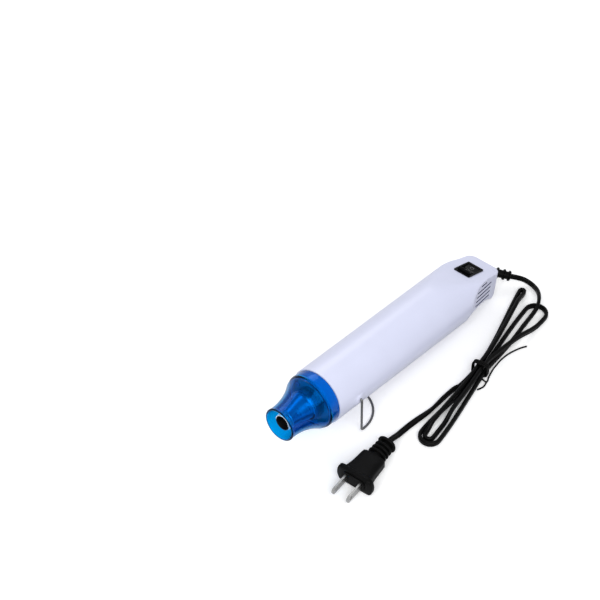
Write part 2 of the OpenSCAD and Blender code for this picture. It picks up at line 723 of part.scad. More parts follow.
// Hank: two and a half loops of cord lying on the surface, drawn in at the waist, where they pile in two
// layers. Its own frame runs s along the hank, away from the plug, and n across it, to the far side.
hank_at = [42.5, -56.5];
hank_turn = 9;
floor_z = cord_hh;
layer_h = cord_w + 0.7;
strand_step = cord_t + 0.5;
tie_lift = tie_d + 0.4;
tie_reach = 26;
function on_hank(s, n, z) = [hank_at.x + s * cos(hank_turn) - n * sin(hank_turn),
                             hank_at.y + s * sin(hank_turn) + n * cos(hank_turn), z];
function ease(t) = let (k = min(1, max(0, t))) k * k * (3 - 2 * k);

// Each end fold: [s, n of its middle, radius, direction of its axis].
fold_a = [96.4, 12.3, 2, 6];
fold_b = [80, -8, 8.6, -3];
fold_c = [-75.2, 1.5, 7.6, 178];
fold_d = [-75.5, 2.2, 3.3, 178];
function fold_leg(f, side) = [f[0], f[1]] + side * f[2] * [-sin(f[3]), cos(f[3])];
function hermite(p0, v0, p1, v1, t) = (2 * pow(t, 3) - 3 * t * t + 1) * p0 + (pow(t, 3) - 2 * t * t + t) * v0
  + (3 * t * t - 2 * pow(t, 3)) * p1 + (pow(t, 3) - t * t) * v1;

// One run from the waist to a fold's leg. n0 and layer say where it crosses the waist, and it comes down
// to the surface between the shares drop0 and drop1 of its length.
function run_point(n0, layer, f, side, drop0, drop1, t) = let (
    leg = fold_leg(f, side),
    way = f[0] > 0 ? 1 : -1,
    reach = norm(leg - [0, n0]),
    flat = hermite([0, n0], [way * reach, 0], leg, reach * [cos(f[3]), sin(f[3])], t),
    lift = tie_lift * (1 - ease(abs(flat.x) / tie_reach)),
    down = layer * layer_h * (1 - ease((t - drop0) / (drop1 - drop0))))
  on_hank(flat.x, flat.y, floor_z + lift + down);
function fold_point(f, side, layer, a) = let (
    p = [f[0], f[1]] + f[2] * [cos(f[3] + side * a), sin(f[3] + side * a)])
  on_hank(p.x, p.y, floor_z + layer * layer_h);

run_steps = 7;
fold_steps = 5;
function run_out(n0, layer, f, side, drop0, drop1, steps) =
  [for (i = [0:steps]) run_point(n0, layer, f, side, drop0, drop1, i / steps)];
function reversed(list) = [for (i = [len(list) - 1:-1:0]) list[i]];
function fold_round(f, side, layer, steps) =
  [for (i = [1:steps - 1]) fold_point(f, side, layer, 90 - 180 * i / steps)];

// The strands at the waist, from the far side to the near side: the lead to the plug and two strands on the
// surface, and the other two on top of them.
way_out = strand_step;
way_in = -strand_step;
top_far = 0.5 * strand_step;
top_near = -0.5 * strand_step;
start_s = 58;
start_n = -6;
end_s = -20;
end_n = 6.2;

function hank_route(k) = let (rs = run_steps * k, fs = fold_steps * k) concat(
  [for (i = [0:rs - 1]) let (t = i / rs, s = start_s * (1 - t))
    on_hank(s, way_in + (start_n - way_in) * ease((s - 4) / (start_s - 12)), floor_z + tie_lift * (1 - ease(s / tie_reach)))],
  run_out(way_in, 0, fold_c, 1, 0, 1, rs),
  fold_round(fold_c, 1, 0, fs),
  reversed(run_out(0, 0, fold_c, -1, 0, 1, rs)),
  [for (i = [1:rs]) run_point(0, 0, fold_b, 1, 0, 1, i / rs)],
  fold_round(fold_b, 1, 0, fs),
  reversed(run_out(top_near, 1, fold_b, -1, 0.5, 0.88, rs)),
  [for (i = [1:rs]) run_point(top_near, 1, fold_d, 1, 0.6, 0.8, i / rs)],
  fold_round(fold_d, 1, 0, fs),
  reversed(run_out(top_far, 1, fold_d, -1, 0.84, 1, rs)),
  [for (i = [1:rs]) run_point(top_far, 1, fold_a, -1, 0.8, 1, i / rs)],
  fold_round(fold_a, -1, 0, fs),
  reversed(run_out(way_out, 0, fold_a, 1, 0, 1, rs)),
  [for (i = [1:3 * k]) let (s = end_s * i / (3 * k))
    on_hank(s, way_out + (end_n - way_out) * pow(s / end_s, 1.6), floor_z + tie_lift * (1 - ease(abs(s) / tie_reach)))]);

hank_path = hank_route(1);
hank_fine = hank_route(3);
// Least gap of the hank to itself, measured between points that lie more than 20 mm apart along it.
fine_len = [for (i = 0, d = 0; i < len(hank_fine); i = i + 1,
             d = d + (i < len(hank_fine) ? norm(hank_fine[i] - hank_fine[i - 1]) : 0)) d];
function pair_gap(p, q) = max(norm([p.x - q.x, p.y - q.y]) - cord_t, abs(p.z - q.z) - cord_w);
hank_gap = min([for (i = [0:len(hank_fine) - 1], j = [i + 1:len(hank_fine) - 1])
  if (fine_len[j] - fine_len[i] > 20) pair_gap(hank_fine[i], hank_fine[j])]);

module cord_hank() {
  color(black) sweep(hank_path, hank_ring);
}

// Tie: one wire wound three times round the waist, with two loose tails.
tie_turns = 3;
tie_steps = 12;
tie_half_w = strand_step + cord_hw + tie_d / 2 + 0.45;
tie_half_h = (cord_w + layer_h) / 2 + tie_d / 2 + 0.5;
tie_mid_z = tie_d + tie_half_h - tie_d / 2;
function squarish(c, p) = sign(c) * pow(abs(c), p);
tie_path = [for (i = [0:tie_turns * tie_steps]) let (a = 360 * i / tie_steps - 60, s = (i / tie_steps - tie_turns / 2) * (tie_d + 0.15))
  on_hank(s, tie_half_w * squarish(cos(a), 0.5), tie_mid_z + tie_half_h * squarish(sin(a), 0.35))];
tail_z = tie_d / 2 + 0.02;
tail_near = [[39.5, -60.3, tail_z], [39.1, -65.5, tail_z], [44.8, -63.6, tail_z], [52.8, -61.5, tail_z],
             [57.4, -60.9, tail_z], [65.7, -60.2, tail_z], [75.1, -61.2, tail_z], [84.4, -64, tail_z], [89.8, -66.9, tail_z]];
tail_far = [[39.1, -65.5, tail_z], [33.7, -66.6, tail_z], [28.1, -65, tail_z]];

module cord_tie() {
  color(black) {
    sweep(tie_path, ring_of(6, tie_d / 2), false);
    for (tail = [tail_near, tail_far]) sweep(smooth(tail, 3), ring_of(6, tie_d / 2));
  }
}

// Strain relief: a moulded grommet through the tail's wall, with fins along the cord's first bend.
relief_collar_r = 5.6;
relief_collar_t = 2;
relief_inner_t = 1.5;
relief_r0 = 3.8;
relief_r1 = 3.1;
fin_r0 = 5.1;
fin_r1 = 4.4;
fin_t = 1.3;
fin_count = 4;
relief_route = [standing([barrel_len + relief_collar_t - 0.5, 0, cord_hole_z]), standing([barrel_len + relief_collar_t + 2, 0, cord_hole_z]),
                [128.7, -3.1, 13.7], [132.6, -8.2, 12], [135.6, -12, 10.6], [138, -15, 9.4]];
relief_path = smooth(relief_route, 3);

// A smooth path through points set by hand, with n steps between each two.
function smooth(route, n) = let (last = len(route) - 1)
  concat([for (i = [0:last - 1], k = [0:n - 1]) let (
      v0 = (route[i + 1] - route[max(i - 1, 0)]) / 2,
      v1 = (route[min(i + 2, last)] - route[i]) / 2)
    hermite(route[i], v0, route[i + 1], v1, k / n)], [route[last]]);

joint_run = 3;

module strain_relief() {
  last = len(relief_path) - 1;
  color(black) {
    placed() translate([0, 0, cord_hole_z]) {
      bar(relief_neck_r, barrel_len - barrel_wall - 0.3, barrel_len + 1);
      bar(relief_neck_r + 2, barrel_len - barrel_wall - 0.3 - relief_inner_t, barrel_len - barrel_wall - 0.3);
      bar(relief_collar_r, barrel_len + 0.05, barrel_len + relief_collar_t);
    }
    tapered_sweep(relief_path, 12, relief_r0, relief_r1);
    for (k = [1:fin_count]) let (i = last - 3 * (fin_count - k) - 1, t = heading(relief_path, i))
      translate(relief_path[i]) rotate([0, acos(t.z), atan2(t.y, t.x)])
        cylinder(r = fin_r0 + (fin_r1 - fin_r0) * k / fin_count, h = fin_t, center = true, $fn = 32);
  }
}

module tapered_sweep(path, n, r0, r1) {
  last = len(path) - 1;
  points = [for (i = [0:last]) let (
      t = heading(path, i), across = unit(cross(t, [0, 0, 1])), up = cross(across, t), r = r0 + (r1 - r0) * i / last)
    for (q = ring_of(n, r)) path[i] + q.x * across + q.y * up];
  walls = [for (i = [0:last - 1], k = [0:n - 1]) let (
      a = i * n + k, b = i * n + (k + 1) % n, c = a + n, d = b + n)
    each [[a, b, d], [a, d, c]]];
  caps = [for (k = [1:n - 2]) each [[0, k + 1, k], [last * n, last * n + k, last * n + k + 1]]];
  polyhedron(points = points, faces = concat(walls, caps), convexity = 10);
}

// Cord from the tail, straight for a short run at each joint: out of the relief, round over one fold of the hank and down to its first strand.
lead_route = [relief_route[5] + joint_run / 2 * heading(relief_path, len(relief_path) - 1), [141.7, -18.6, 7.6], [145.7, -23.6, 5.4], [146.9, -29.8, 3.8], [145.3, -35.6, 3.8],
              [141.5, -40.7, 5.4], [136.2, -45.2, 7.4], [131.2, -48.5, 8.2], [126.6, -50.6, 6.6], [121.4, -51.2, 4.2],
              [114.4, -51.6, 2.6], hank_path[0] - joint_run * heading(hank_path, 0)];
lead_path = concat([relief_route[5]], smooth(lead_route, 2), [hank_path[0]]);

module cord_lead() {
  color(black) sweep(lead_path, cord_ring);
}

// Cord to the plug: along the hank's side, turning over from its edge to its flat, and up into the plug.
plug_z = plug_flange_h / 2;
plug_turn = 5;
plug_at = [-99.6, -53.8, plug_z];
plug_way = [cos(plug_turn), sin(plug_turn), 0];
flange_t = 4;
flange_front = 3.6;
plug_neck_x = flange_front - flange_t;
plug_back_x = plug_neck_x - (plug_body_len - flange_t);
relief_len = 17;
relief_end_x = plug_back_x - relief_len + 1;
cord_socket = plug_at - relief_end_x * plug_way;
hank_last = len(hank_path) - 1;
plug_route = [hank_path[hank_last] + joint_run / 2 * heading(hank_path, hank_last), [16.2, -52, 2.45], [9.5, -51.6, 2.45], [2.8, -51.5, 2.45], [-4.5, -51.7, 2.45],
              [-12, -51.6, 2.4], [-19.5, -50.8, 2.3], [-27, -49.6, 2], [-34.5, -48.7, 1.8], [-41.5, -48.4, 2],
              [-47.5, -48.7, 3.2], [-52.5, -49.2, 5.4], [-57, -49.8, 7.4], cord_socket + joint_run / 2 * plug_way];
plug_path = concat([hank_path[hank_last]], smooth(plug_route, 2), [cord_socket]);
plug_roll = [for (i = [0:len(plug_path) - 1]) 90 * ease((i - 6) / 9)];

module plug_lead() {
  color(black) sweep(plug_path, cord_ring, true, plug_roll);
}

// Plug: a moulded body with a finger flange, a shoulder and a ribbed relief, and two flat blades.
face_step = 1;
shoulder_w_mid = 20;
plug_body_h = 12;
shoulder_h = 10;
rib_count = 4;
rib_pitch = 3.7;
rib_t = 1.9;
rib_r = 6.7;
relief_core_r = 4.6;
collar_r = 7.4;
collar_t = 2.4;
blade_in = 9;

module on_plug() {
  translate(plug_at) rotate([0, 0, 180 + plug_turn]) children();
}

module plug_body() {
  neck_x = plug_neck_x;
  back = plug_back_x;
  top = [[neck_x + eps, plug_neck_w / 2], [neck_x - 3, plug_neck_w / 2 - 0.6], [neck_x - 11, shoulder_w_mid / 2],
         [back + 3, plug_shoulder_w / 2], [back + 1, plug_shoulder_w / 2 - 0.6], [back, plug_shoulder_w / 2 - 2]];
  side = [[neck_x + eps, plug_body_h / 2 + 1], [neck_x - 3, plug_body_h / 2 + 0.2], [neck_x - 11, plug_body_h / 2 - 0.5],
          [back + 3, shoulder_h / 2 + 0.6], [back + 1, shoulder_h / 2], [back, shoulder_h / 2 - 1.6]];
  color(black) on_plug() difference() {
    union() {
      intersection() {
        linear_extrude(far, center = true) polygon(concat(top, [for (i = [len(top) - 1:-1:0]) [top[i].x, -top[i].y]]));
        side_slab(far) polygon(concat(side, [for (i = [len(side) - 1:-1:0]) [side[i].x, -side[i].y]]));
      }
      flange_block();
      translate([relief_end_x, 0, 0]) rotate([0, 90, 0]) {
        cylinder(r = relief_core_r, h = relief_len);
        cylinder(r = collar_r, h = collar_t);
        for (k = [1:rib_count - 1]) translate([0, 0, collar_t / 2 + rib_pitch * k]) cylinder(r = rib_r, h = rib_t);
      }
    }
    plug_blade_pair(0);
  }
}

// The flange is flat on top and bottom, with round ears at its sides.
module flange_block() {
  ear_r = plug_flange_h / 2;
  translate([plug_neck_x, 0, 0]) rotate([0, 90, 0]) intersection() {
    cylinder(r = plug_flange_w / 2, h = flange_t);
    translate([-ear_r, -far / 2, 0]) cube([2 * ear_r, far, flange_t]);
  }
  translate([flange_front - eps, -blade_pitch / 2 - blade_t - 2, -blade_w / 2 - 2])
    cube([face_step + eps, blade_pitch + 2 * blade_t + 4, blade_w + 4]);
}

module plug_blade_pair(hole_r) {
  face = flange_front + face_step;
  tip_in = blade_w / 2;
  for (side = [-1, 1]) translate([0, side * blade_pitch / 2, 0]) difference() {
    union() {
      translate([face - blade_in, -blade_t / 2, -blade_w / 2]) cube([blade_in + blade_len - tip_in, blade_t, blade_w]);
      translate([face + blade_len - tip_in, 0, 0]) rotate([90, 0, 0]) cylinder(r = blade_w / 2, h = blade_t, center = true);
    }
    if (hole_r > 0) translate([face + blade_len - 4.2, 0, 0]) rotate([90, 0, 0]) cylinder(r = hole_r, h = 3 * blade_t, center = true);
  }
}

module plug_blades() {
  color(steel) on_plug() plug_blade_pair(1.6);
}

echo(tilt = tilt, axis_h = axis_h, place_x = place_x, rest_x = rest_x, rest_r = rest_r);
echo(pivot_at = pivot_at, rocker_at = rocker_at);
echo(tip_at = standing([tip_x, 0, 0]), fan_at = standing([fan_back, 0, 0]), exit_at = standing([barrel_len, 0, cord_hole_z]));
echo(hank_gap = hank_gap, hank_len = fine_len[len(fine_len) - 1], hank_start = hank_path[0], hank_end = hank_path[len(hank_path) - 1]);

barrel();
nozzle_guard();
heater_nozzle();
heater_tube();
front_plate();
plate_screws();
mica_sleeve();
mica_former();
heating_coil();
thermal_cutout();
thermal_fuse();
fan_duct();
fan_impeller();
motor_mount();
motor_screws();
motor_body();
motor_shaft();
rectifier_board();
rectifier_diodes();
switch_body();
switch_rocker();
switch_terminals();
stand_bail();
cord_hank();
cord_tie();
strain_relief();
cord_lead();
plug_lead();
plug_body();
plug_blades();
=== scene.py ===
import math

import bmesh
import bpy
import numpy as np
from mathutils import Matrix, Vector


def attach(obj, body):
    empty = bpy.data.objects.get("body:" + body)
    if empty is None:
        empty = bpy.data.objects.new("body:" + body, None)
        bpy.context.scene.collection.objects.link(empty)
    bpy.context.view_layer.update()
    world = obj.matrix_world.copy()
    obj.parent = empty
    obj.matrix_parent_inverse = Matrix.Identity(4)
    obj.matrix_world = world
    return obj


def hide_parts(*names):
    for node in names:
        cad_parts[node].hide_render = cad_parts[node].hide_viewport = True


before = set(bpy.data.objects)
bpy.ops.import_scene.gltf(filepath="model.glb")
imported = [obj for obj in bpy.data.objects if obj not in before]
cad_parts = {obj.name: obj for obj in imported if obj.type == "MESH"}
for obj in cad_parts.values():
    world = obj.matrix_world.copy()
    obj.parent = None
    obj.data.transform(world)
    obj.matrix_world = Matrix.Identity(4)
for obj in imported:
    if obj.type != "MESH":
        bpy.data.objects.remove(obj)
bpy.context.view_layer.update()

# The view: the camera stands in front of the nozzle's near side and looks down on the tool, which
# lies on a plain pale surface under soft lamps.
MM = 0.001
PLACE_X = -81.4376
EYE = Vector((-429.88 + PLACE_X, -403.44, 731.01)) * MM
PITCH = math.radians(45.148)
YAW = math.radians(44.138)
ROLL = math.radians(2.124)
LOOK = Vector((math.cos(YAW) * math.cos(PITCH), math.sin(YAW) * math.cos(PITCH), -math.sin(PITCH)))
LEVEL = Vector((math.sin(YAW), -math.cos(YAW), 0))
DOWN = LOOK.cross(LEVEL)
RIGHT = math.cos(ROLL) * LEVEL + math.sin(ROLL) * DOWN
UP = math.sin(ROLL) * LEVEL - math.cos(ROLL) * DOWN

camera_data = bpy.data.cameras.new("camera")
camera_data.lens = 75.22
camera_data.sensor_width = 36
camera_data.clip_start = 0.05
camera_data.clip_end = 20
camera = bpy.data.objects.new("camera", camera_data)
camera.matrix_world = Matrix.Translation(EYE) @ Matrix((RIGHT, UP, -LOOK)).transposed().to_4x4()
bpy.context.collection.objects.link(camera)
scene = bpy.context.scene
scene.camera = camera
scene.view_settings.view_transform = "Standard"


def node_material(name):
    """A new material, its empty node tree and the tree's output."""
    material = bpy.data.materials.new(name)
    material.use_nodes = True
    tree = material.node_tree
    tree.nodes.clear()
    output = tree.nodes.new("ShaderNodeOutputMaterial")
    return material, tree, output


def put(tree, kind, settings=None, **inputs):
    """Adds one node, with its settings and its inputs by name. An input is a value or another socket."""
    node = tree.nodes.new(kind)
    for key, value in (settings or {}).items():
        setattr(node, key, value)
    for key, value in inputs.items():
        by_number = key[0] == "i" and key[1:].isdigit()
        socket = node.inputs[int(key[1:])] if by_number else node.inputs[key.replace("_", " ")]
        if isinstance(value, bpy.types.NodeSocket):
            tree.links.new(value, socket)
        else:
            socket.default_value = value
    return node


FLOOR_GLOW = 0.13
floor_material, tree, output = node_material("pale_surface")
paths = put(tree, "ShaderNodeLightPath")
seen = put(tree, "ShaderNodeMath", {"operation": "MAXIMUM"}, i0=paths.outputs["Is Camera Ray"],
           i1=paths.outputs["Is Transmission Ray"])
paper = put(tree, "ShaderNodeMix", {"data_type": "RGBA"}, Factor=seen.outputs[0],
            i6=(0.74, 0.74, 0.75, 1), i7=(1, 1, 1, 1))
surface = put(tree, "ShaderNodeBsdfDiffuse", Color=paper.outputs[2])
lift = put(tree, "ShaderNodeMath", {"operation": "MULTIPLY"}, i0=seen.outputs[0], i1=FLOOR_GLOW)
glow = put(tree, "ShaderNodeEmission", Color=(1, 1, 1, 1), Strength=lift.outputs[0])
both = put(tree, "ShaderNodeAddShader", i0=surface.outputs[0], i1=glow.outputs[0])
tree.links.new(both.outputs[0], output.inputs[0])
bpy.ops.mesh.primitive_plane_add(size=8)
floor = bpy.context.object
floor.name = "surface"
floor.data.materials.append(floor_material)

world = bpy.data.worlds.new("studio")
scene.world = world
world.use_nodes = True
sky = world.node_tree.nodes["Background"]
sky.inputs["Color"].default_value = (0.97, 0.98, 1, 1)
sky.inputs["Strength"].default_value = 0.62


def lamp(name, place, aim, size, power):
    """A soft box at a place, turned to a point."""
    data = bpy.data.lights.new(name, "AREA")
    data.shape = "RECTANGLE"
    data.size, data.size_y = size
    data.energy = power
    light = bpy.data.objects.new(name, data)
    light.location = place
    light.rotation_euler = (Vector(aim) - Vector(place)).to_track_quat("-Z", "Y").to_euler()
    bpy.context.collection.objects.link(light)


lamp("key_softbox", (-0.55, -0.75, 1.0), (0, 0, 0.02), (0.9, 0.9), 9)
lamp("rear_softbox", (0.5, 0.9, 0.9), (0, 0, 0.02), (1.2, 0.6), 5)
lamp("near_strip", (-0.75, -0.2, 0.75), (-0.12, 0, 0.04), (0.12, 0.5), 1.6)

# Mains cord: flat twin flex with black PVC over two cores, a groove between them. It leaves the tail's
# relief, is tied in a hank of two and a half loops on the surface, and runs on to its plug.
AXIS_H = 39.1241
TILT = math.radians(5.71772)
EXIT_X, EXIT_Z = 204.5, -4
CORD_W = 4.8
CORD_T = 3.0
TIE_D = 1.3
HANK_AT = (42.5, -56.5)
HANK_TURN = math.radians(9)
CORD_FLOOR = CORD_W / 2
LAYER_H = CORD_W + 0.7
STRAND_STEP = CORD_T + 0.5
TIE_LIFT = TIE_D + 0.4
TIE_REACH = 26
FOLD_A = (96.4, 12.3, 2, 6)
FOLD_B = (80, -8, 8.6, -3)
FOLD_C = (-75.2, 1.5, 7.6, 178)
FOLD_D = (-75.5, 2.2, 3.3, 178)


def standing(x, y, z):
    """A point of the barrel's own frame, in millimetres, as it stands."""
    return np.array([PLACE_X + x * math.cos(TILT) + z * math.sin(TILT), y,
                     AXIS_H - x * math.sin(TILT) + z * math.cos(TILT)])


def ease(t):
    """Goes from 0 to 1 with a soft start and end."""
    t = min(1.0, max(0.0, t))
    return t * t * (3 - 2 * t)


def hermite(p0, v0, p1, v1, t):
    """A point of the curve that leaves p0 along v0 and reaches p1 along v1."""
    p0, v0, p1, v1 = (np.array(p, float) for p in (p0, v0, p1, v1))
    return ((2 * t**3 - 3 * t * t + 1) * p0 + (t**3 - 2 * t * t + t) * v0
            + (3 * t * t - 2 * t**3) * p1 + (t**3 - t * t) * v1)


def on_hank(s, n, z):
    """A point from the hank's waist, s along its strands and n across them."""
    return np.array([HANK_AT[0] + s * math.cos(HANK_TURN) - n * math.sin(HANK_TURN),
                     HANK_AT[1] + s * math.sin(HANK_TURN) + n * math.cos(HANK_TURN), z])


def run_point(n0, layer, fold, side, drop0, drop1, t):
    """A point of the run from the waist to one leg of a fold."""
    a = math.radians(fold[3])
    leg = np.array([fold[0] - side * fold[2] * math.sin(a), fold[1] + side * fold[2] * math.cos(a)])
    reach = math.hypot(leg[0], leg[1] - n0)
    way = 1 if fold[0] > 0 else -1
    flat = hermite((0, n0), (way * reach, 0), leg, (reach * math.cos(a), reach * math.sin(a)), t)
    lift = TIE_LIFT * (1 - ease(abs(flat[0]) / TIE_REACH))
    down = layer * LAYER_H * (1 - ease((t - drop0) / (drop1 - drop0)))
    return on_hank(flat[0], flat[1], CORD_FLOOR + lift + down)


def fold_round(fold, side, layer, steps):
    """The points of the half turn at a fold, without its two ends."""
    points = []
    for i in range(1, steps):
        a = math.radians(fold[3] + side * (90 - 180 * i / steps))
        points.append(on_hank(fold[0] + fold[2] * math.cos(a), fold[1] + fold[2] * math.sin(a),
                              CORD_FLOOR + layer * LAYER_H))
    return points


def run_out(n0, layer, fold, side, drop0, drop1, steps):
    """The points of a run from the waist to one leg of a fold."""
    return [run_point(n0, layer, fold, side, drop0, drop1, i / steps) for i in range(steps + 1)]


def smooth(route, steps):
    """A smooth path through given points."""
    route = [np.array(p, float) for p in route]
    last = len(route) - 1
    path = []
    for i in range(last):
        v0 = (route[i + 1] - route[max(i - 1, 0)]) / 2
        v1 = (route[min(i + 2, last)] - route[i]) / 2
        path += [hermite(route[i], v0, route[i + 1], v1, k / steps) for k in range(steps)]
    return path + [route[last]]


RUNS, FOLDS = 42, 30
TOP_FAR, TOP_NEAR = 0.5 * STRAND_STEP, -0.5 * STRAND_STEP
START_S, START_N, END_S, END_N = 58, -6, -20, 6.2
hank = []
for i in range(RUNS):
    s = START_S * (1 - i / RUNS)
    n = -STRAND_STEP + (START_N + STRAND_STEP) * ease((s - 4) / (START_S - 12))
    hank.append(on_hank(s, n, CORD_FLOOR + TIE_LIFT * (1 - ease(s / TIE_REACH))))
hank += run_out(-STRAND_STEP, 0, FOLD_C, 1, 0, 1, RUNS) + fold_round(FOLD_C, 1, 0, FOLDS)
hank += run_out(0, 0, FOLD_C, -1, 0, 1, RUNS)[::-1] + run_out(0, 0, FOLD_B, 1, 0, 1, RUNS)[1:]
hank += fold_round(FOLD_B, 1, 0, FOLDS) + run_out(TOP_NEAR, 1, FOLD_B, -1, 0.5, 0.88, RUNS)[::-1]
hank += run_out(TOP_NEAR, 1, FOLD_D, 1, 0.6, 0.8, RUNS)[1:] + fold_round(FOLD_D, 1, 0, FOLDS)
hank += run_out(TOP_FAR, 1, FOLD_D, -1, 0.84, 1, RUNS)[::-1]
hank += run_out(TOP_FAR, 1, FOLD_A, -1, 0.8, 1, RUNS)[1:]
hank += fold_round(FOLD_A, -1, 0, FOLDS) + run_out(STRAND_STEP, 0, FOLD_A, 1, 0, 1, RUNS)[::-1]
END_STEPS = 18
for i in range(1, END_STEPS + 1):
    s = END_S * i / END_STEPS
    n = STRAND_STEP + (END_N - STRAND_STEP) * (s / END_S) ** 1.6
    hank.append(on_hank(s, n, CORD_FLOOR + TIE_LIFT * (1 - ease(abs(s) / TIE_REACH))))

TAIL_EXIT = standing(EXIT_X, 0, EXIT_Z)
relief_route = [standing(EXIT_X + 1.5, 0, EXIT_Z), standing(EXIT_X + 4, 0, EXIT_Z), (128.7, -3.1, 13.7),
                (132.6, -8.2, 12), (135.6, -12, 10.6), (138, -15, 9.4)]
JOINT_RUN = 3


def heading(a, b):
    """The direction from one point to another."""
    way = np.array(b, float) - np.array(a, float)
    return way / np.linalg.norm(way)


relief_path = smooth(relief_route, 3)
lead_route = [relief_path[-1] + JOINT_RUN / 2 * heading(relief_path[-2], relief_path[-1]),
              (141.7, -18.6, 7.6), (145.7, -23.6, 5.4), (146.9, -29.8, 3.8), (145.3, -35.6, 3.8),
              (141.5, -40.7, 5.4), (136.2, -45.2, 7.4), (131.2, -48.5, 8.2), (126.6, -50.6, 6.6),
              (121.4, -51.2, 4.2), (114.4, -51.6, 2.6), hank[0] - JOINT_RUN * heading(hank[0], hank[1])]
PLUG_TURN = math.radians(5)
PLUG_AT = np.array([-99.6, -53.8, 8.0])
PLUG_WAY = np.array([math.cos(PLUG_TURN), math.sin(PLUG_TURN), 0])
RELIEF_END_X = -38.4
cord_socket = PLUG_AT - RELIEF_END_X * PLUG_WAY
plug_route = [hank[-1] + JOINT_RUN / 2 * heading(hank[-2], hank[-1]), (16.2, -52, 2.45), (9.5, -51.6, 2.45),
              (2.8, -51.5, 2.45), (-4.5, -51.7, 2.45), (-12, -51.6, 2.4), (-19.5, -50.8, 2.3),
              (-27, -49.6, 2), (-34.5, -48.7, 1.8), (-41.5, -48.4, 2), (-47.5, -48.7, 3.2),
              (-52.5, -49.2, 5.4), (-57, -49.8, 7.4), cord_socket + JOINT_RUN / 2 * PLUG_WAY]
lead = [TAIL_EXIT] + smooth(relief_route, 6)[:-1] + smooth(lead_route, 8)
plug_lead = smooth(plug_route, 8) + [cord_socket]
whole = np.array(lead + hank + plug_lead)
turning = [90 * ease((i / 4 - 6) / 9) for i in range(1, len(plug_lead) + 1)]
twist = np.array([0.0] * (len(lead) + len(hank)) + turning)
along = np.concatenate([[0], np.cumsum(np.linalg.norm(np.diff(whole, axis=0), axis=1))])
CORD_LENGTH = along[-1]
stations = np.linspace(0, CORD_LENGTH, int(CORD_LENGTH / 1.8))
cord_path = np.stack([np.interp(stations, along, whole[:, k]) for k in range(3)], 1)
cord_twist = np.interp(stations, along, twist)


def mesh_piece(name, points, faces, material, smooth_shade=True):
    """A piece of the model from points in metres, with one material and its faces pointing outwards."""
    mesh = bpy.data.meshes.new(name)
    mesh.from_pydata([tuple(p) for p in points], [], [tuple(int(i) for i in f) for f in faces])
    mesh.materials.append(material)
    bm = bmesh.new()
    bm.from_mesh(mesh)
    bmesh.ops.remove_doubles(bm, verts=bm.verts, dist=1e-7)
    bmesh.ops.recalc_face_normals(bm, faces=bm.faces)
    bm.to_mesh(mesh)
    bm.free()
    mesh.polygons.foreach_set("use_smooth", [smooth_shade] * len(mesh.polygons))
    piece = bpy.data.objects.new(name, mesh)
    bpy.context.collection.objects.link(piece)
    return piece


def ring_faces(rings, count):
    """The faces between rings that follow each other, each with as many points."""
    faces = []
    for i in range(rings - 1):
        for k in range(count):
            a, b = i * count + k, i * count + (k + 1) % count
            faces.append((a, b, b + count, a + count))
    return faces


def swept(path, sections, lean=None):
    """Rings of a section swept along a path, closed at both ends: points in millimetres, and faces."""
    path = np.array(path, float)
    ahead = np.gradient(path, axis=0)
    ahead /= np.linalg.norm(ahead, axis=1)[:, None]
    across = np.cross(ahead, [0, 0, 1.0] if lean is None else lean)
    across /= np.linalg.norm(across, axis=1)[:, None]
    up = np.cross(across, ahead)
    count = sections.shape[1]
    points = path[:, None] + sections[:, :, 0:1] * across[:, None] + sections[:, :, 1:2] * up[:, None]
    points = points.reshape(-1, 3)
    faces = ring_faces(len(path), count)
    faces.append(tuple(range(count - 1, -1, -1)))
    faces.append(tuple(len(points) - count + k for k in range(count)))
    return points, faces


angles = np.linspace(0, 2 * math.pi, 20, endpoint=False)
core_r, core_off = CORD_T / 2, (CORD_W - CORD_T) / 2
twin = core_off * np.abs(np.sin(angles)) + np.sqrt(core_r**2 - (core_off * np.cos(angles)) ** 2)
twin_section = np.stack([twin * np.cos(angles), twin * np.sin(angles)], 1)
turned = np.radians(cord_twist)[:, None]
thin, broad = twin_section[None, :, 0], twin_section[None, :, 1]
cord_sections = np.stack([thin * np.cos(turned) - broad * np.sin(turned),
                          thin * np.sin(turned) + broad * np.cos(turned)], 2)


def principled(tree, output, colour, rough, bump=None, **inputs):
    """A Principled shader on a tree, with its colour and roughness as values or sockets."""
    shader = put(tree, "ShaderNodeBsdfPrincipled", Base_Color=colour, Roughness=rough, **inputs)
    if bump is not None:
        tree.links.new(bump, shader.inputs["Normal"])
    tree.links.new(shader.outputs[0], output.inputs[0])


def soft_black(name, grey, rough0, rough1, grain):
    """Black moulded PVC: slightly cloudy in its gloss, with a fine skin."""
    material, tree, output = node_material(name)
    where = put(tree, "ShaderNodeTexCoord")
    cloud = put(tree, "ShaderNodeTexNoise", Vector=where.outputs["Object"], Scale=90, Detail=3)
    rough = put(tree, "ShaderNodeMapRange", Value=cloud.outputs["Fac"], From_Min=0.3, From_Max=0.7,
                To_Min=rough0, To_Max=rough1)
    skin = put(tree, "ShaderNodeTexNoise", Vector=where.outputs["Object"], Scale=2600, Detail=2)
    bump = put(tree, "ShaderNodeBump", Height=skin.outputs["Fac"], Strength=grain, Distance=0.0001)
    shade = put(tree, "ShaderNodeMix", {"data_type": "RGBA"}, Factor=cloud.outputs["Fac"],
                i6=(*[grey] * 3, 1), i7=(*[grey * 1.7] * 3, 1))
    principled(tree, output, shade.outputs[2], rough.outputs[0], bump.outputs[0], Specular_IOR_Level=0.07)
    return material


cord_pvc = soft_black("cord_pvc", 0.002, 0.24, 0.4, 0.2)
cord_points, cord_faces = swept(cord_path, cord_sections)
mains_cord = mesh_piece("mains_cord", cord_points * MM, cord_faces, cord_pvc)
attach(mains_cord, "tool")
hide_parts("cord_lead", "cord_hank", "plug_lead")
